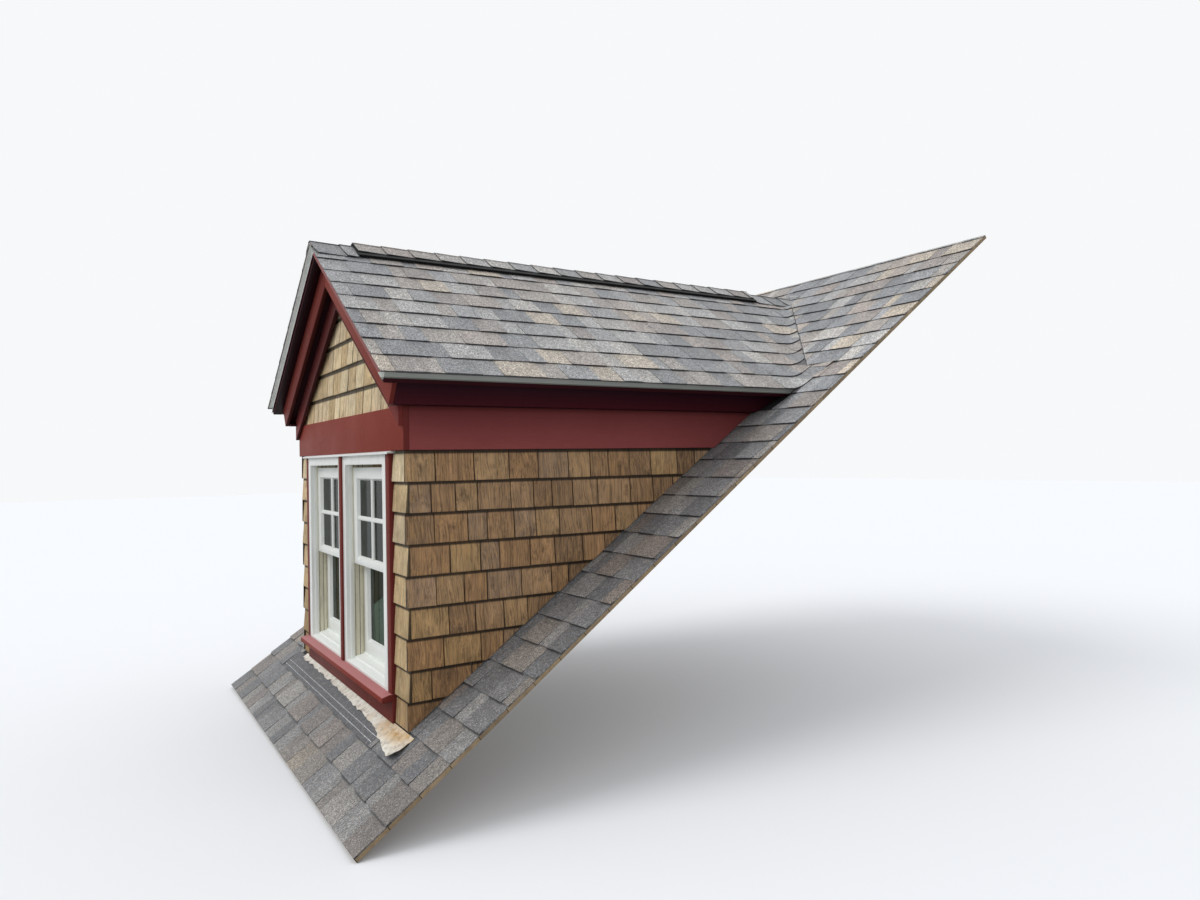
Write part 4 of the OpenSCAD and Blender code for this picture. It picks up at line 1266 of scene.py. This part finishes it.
TORN = ((-0.82, 0.009), (-0.54, 0.010), (-0.30, 0.013), (-0.02, 0.017), (0.20, 0.024), (0.41, 0.027),
        (0.60, 0.034), (0.72, 0.048), (0.80, 0.070), (0.90, 0.088), (0.95, 0.092), (0.975, 0.085),
        (0.99, 0.062))
SHEET_T, SHEET_START, BOARD_FOOT, LOOSE_FROM = 0.0012, -0.004, -0.0285, -0.031


def torn_depth(x):
    """How far the sheet reaches out at x, with an uneven edge."""
    for (a, da), (b, db) in zip(TORN, TORN[1:]):
        if x <= b:
            break
    d = da + (db - da) * min(max((x - a) / (b - a), 0.0), 1.0)
    d += 0.0085 * wobble(x * 13, 3.1, 0) + 0.0060 * wobble(x * 41, 7.7, 0)
    return max(d, 0.006)


def membrane():
    """The sheet that shows under the apron board, torn along its lower edge, with a loose corner."""
    shell = Shell()
    x0, x1, n, rows = TORN[0][0], TORN[-1][0], 210, 12
    upper, lower = [], []
    for i in range(n + 1):
        x = x0 + (x1 - x0) * i / n
        low = BOARD_FOOT - torn_depth(x)
        for j in range(rows + 1):
            t = SHEET_START + (low - SHEET_START) * j / rows
            f = min(max((LOOSE_FROM - t) / (LOOSE_FROM - low), 0.0), 1.0)
            px = x + 0.022 * f * ease(x, 0.80, 0.99)
            h = 0.0076 + 0.0040 * ease(x, 0.66, 0.76) * ease(-t, 0.028, 0.034)
            h += 0.0070 * f * (0.35 + wobble(x * 26, t * 44, 2.2))
            h += 0.0110 * f * f * max(0.0, wobble(x * 11, 5.0, 0))
            h += 0.014 * f ** 3 * ease(x, 0.86, 0.97) + 0.006 * f * ease(x, 0.95, 0.99)
            h = max(h, 0.0066)
            upper.append(on_main(px, t, h))
            lower.append(on_main(px, t, h - SHEET_T))
    off, step = len(upper), rows + 1
    faces = []
    for i in range(n):
        for a in range(i * step, i * step + rows):
            b, c, d = a + 1, a + step + 1, a + step
            faces += [[a, b, c, d], [off + d, off + c, off + b, off + a]]
        for a in (i * step, i * step + rows):
            faces.append([a, a + step, off + a + step, off + a])
    for i in (0, n):
        faces += [[a, a + 1, off + a + 1, off + a] for a in range(i * step, i * step + rows)]
    shell.solid(upper + lower, faces)
    shell.build("torn_membrane_strip", MEMBRANE, "membrane", "apron_flashing")


membrane()


# Materials of the CAD pieces that stay

for node, mat in (
        ("collar_deck", DECK_MAIN),
        ("step_flashing", ZINC),
        ("front_wall", STUD),
        ("cheek_wall_left", LINING),
        ("cheek_wall_right", LINING),
        ("ridge_board", RIDGE_WOOD),
        ("rafters", RAFTER),
        ("roof_deck_left", DECK_DORMER),
        ("roof_deck_right", DECK_DORMER),
        ("eave_soffit", SHADED_MAROON),
        ("rake_soffit", SHADED_MAROON),
        ("drip_edge", DRIP),
        ("jamb_tracks", CREAM),
        ("window_glass", GLASS)):
    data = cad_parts[node].data
    data.materials.clear()
    data.materials.append(mat)


# Stage and light

FLOOR_HALF, FLOOR_DROP, FLOOR_LIT, FLOOR_SEEN = 40, 0.001, (0.34, 0.34, 0.34), (0.88, 0.88, 0.88)
SKY_LIT, SKY_SEEN, SUN_WAY = (0.92, 0.95, 1.0), (0.93, 0.94, 0.95), (0.12, 0.80, -0.85)
floor_mat = bpy.data.materials.new("pale_floor")
n = Nodes(floor_mat)
matt = n.add("BsdfDiffuse", Color=n.blend(n.seen_rays(), FLOOR_LIT, FLOOR_SEEN))
n.add("OutputMaterial", Surface=matt.outputs[0])
floor_mesh = bpy.data.meshes.new("floor")
square = rect(-FLOOR_HALF, FLOOR_HALF, -FLOOR_HALF, FLOOR_HALF)
floor_mesh.from_pydata([(x, y, cad_lo.z - FLOOR_DROP) for x, y in square], [], [[0, 1, 2, 3]])
floor_mesh.materials.append(floor_mat)
floor = bpy.data.objects.new("floor", floor_mesh)
link(floor)

world = bpy.data.worlds.new("studio")
n = Nodes(world)
level = n.span(n.split(n.add("TexCoord").outputs["Generated"])[2], -0.1, 1.0, 0.56, 1.06)
lit = n.add("Background", Color=SKY_LIT, Strength=level)
seen = n.add("Background", Color=SKY_SEEN, Strength=1.0)
mixer = n.add("MixShader", _0=n.seen_rays(), _1=lit.outputs[0], _2=seen.outputs[0])
n.add("OutputWorld", Surface=mixer.outputs[0])
bpy.context.scene.world = world

sun_data = bpy.data.lights.new("soft_key", "SUN")
sun_data.energy = 1.0
sun_data.angle = math.radians(35)
sun = bpy.data.objects.new("soft_key", sun_data)
sun.rotation_euler = Vector(SUN_WAY).to_track_quat("-Z", "Y").to_euler()
link(sun)

bpy.context.scene.view_settings.view_transform = "Standard"
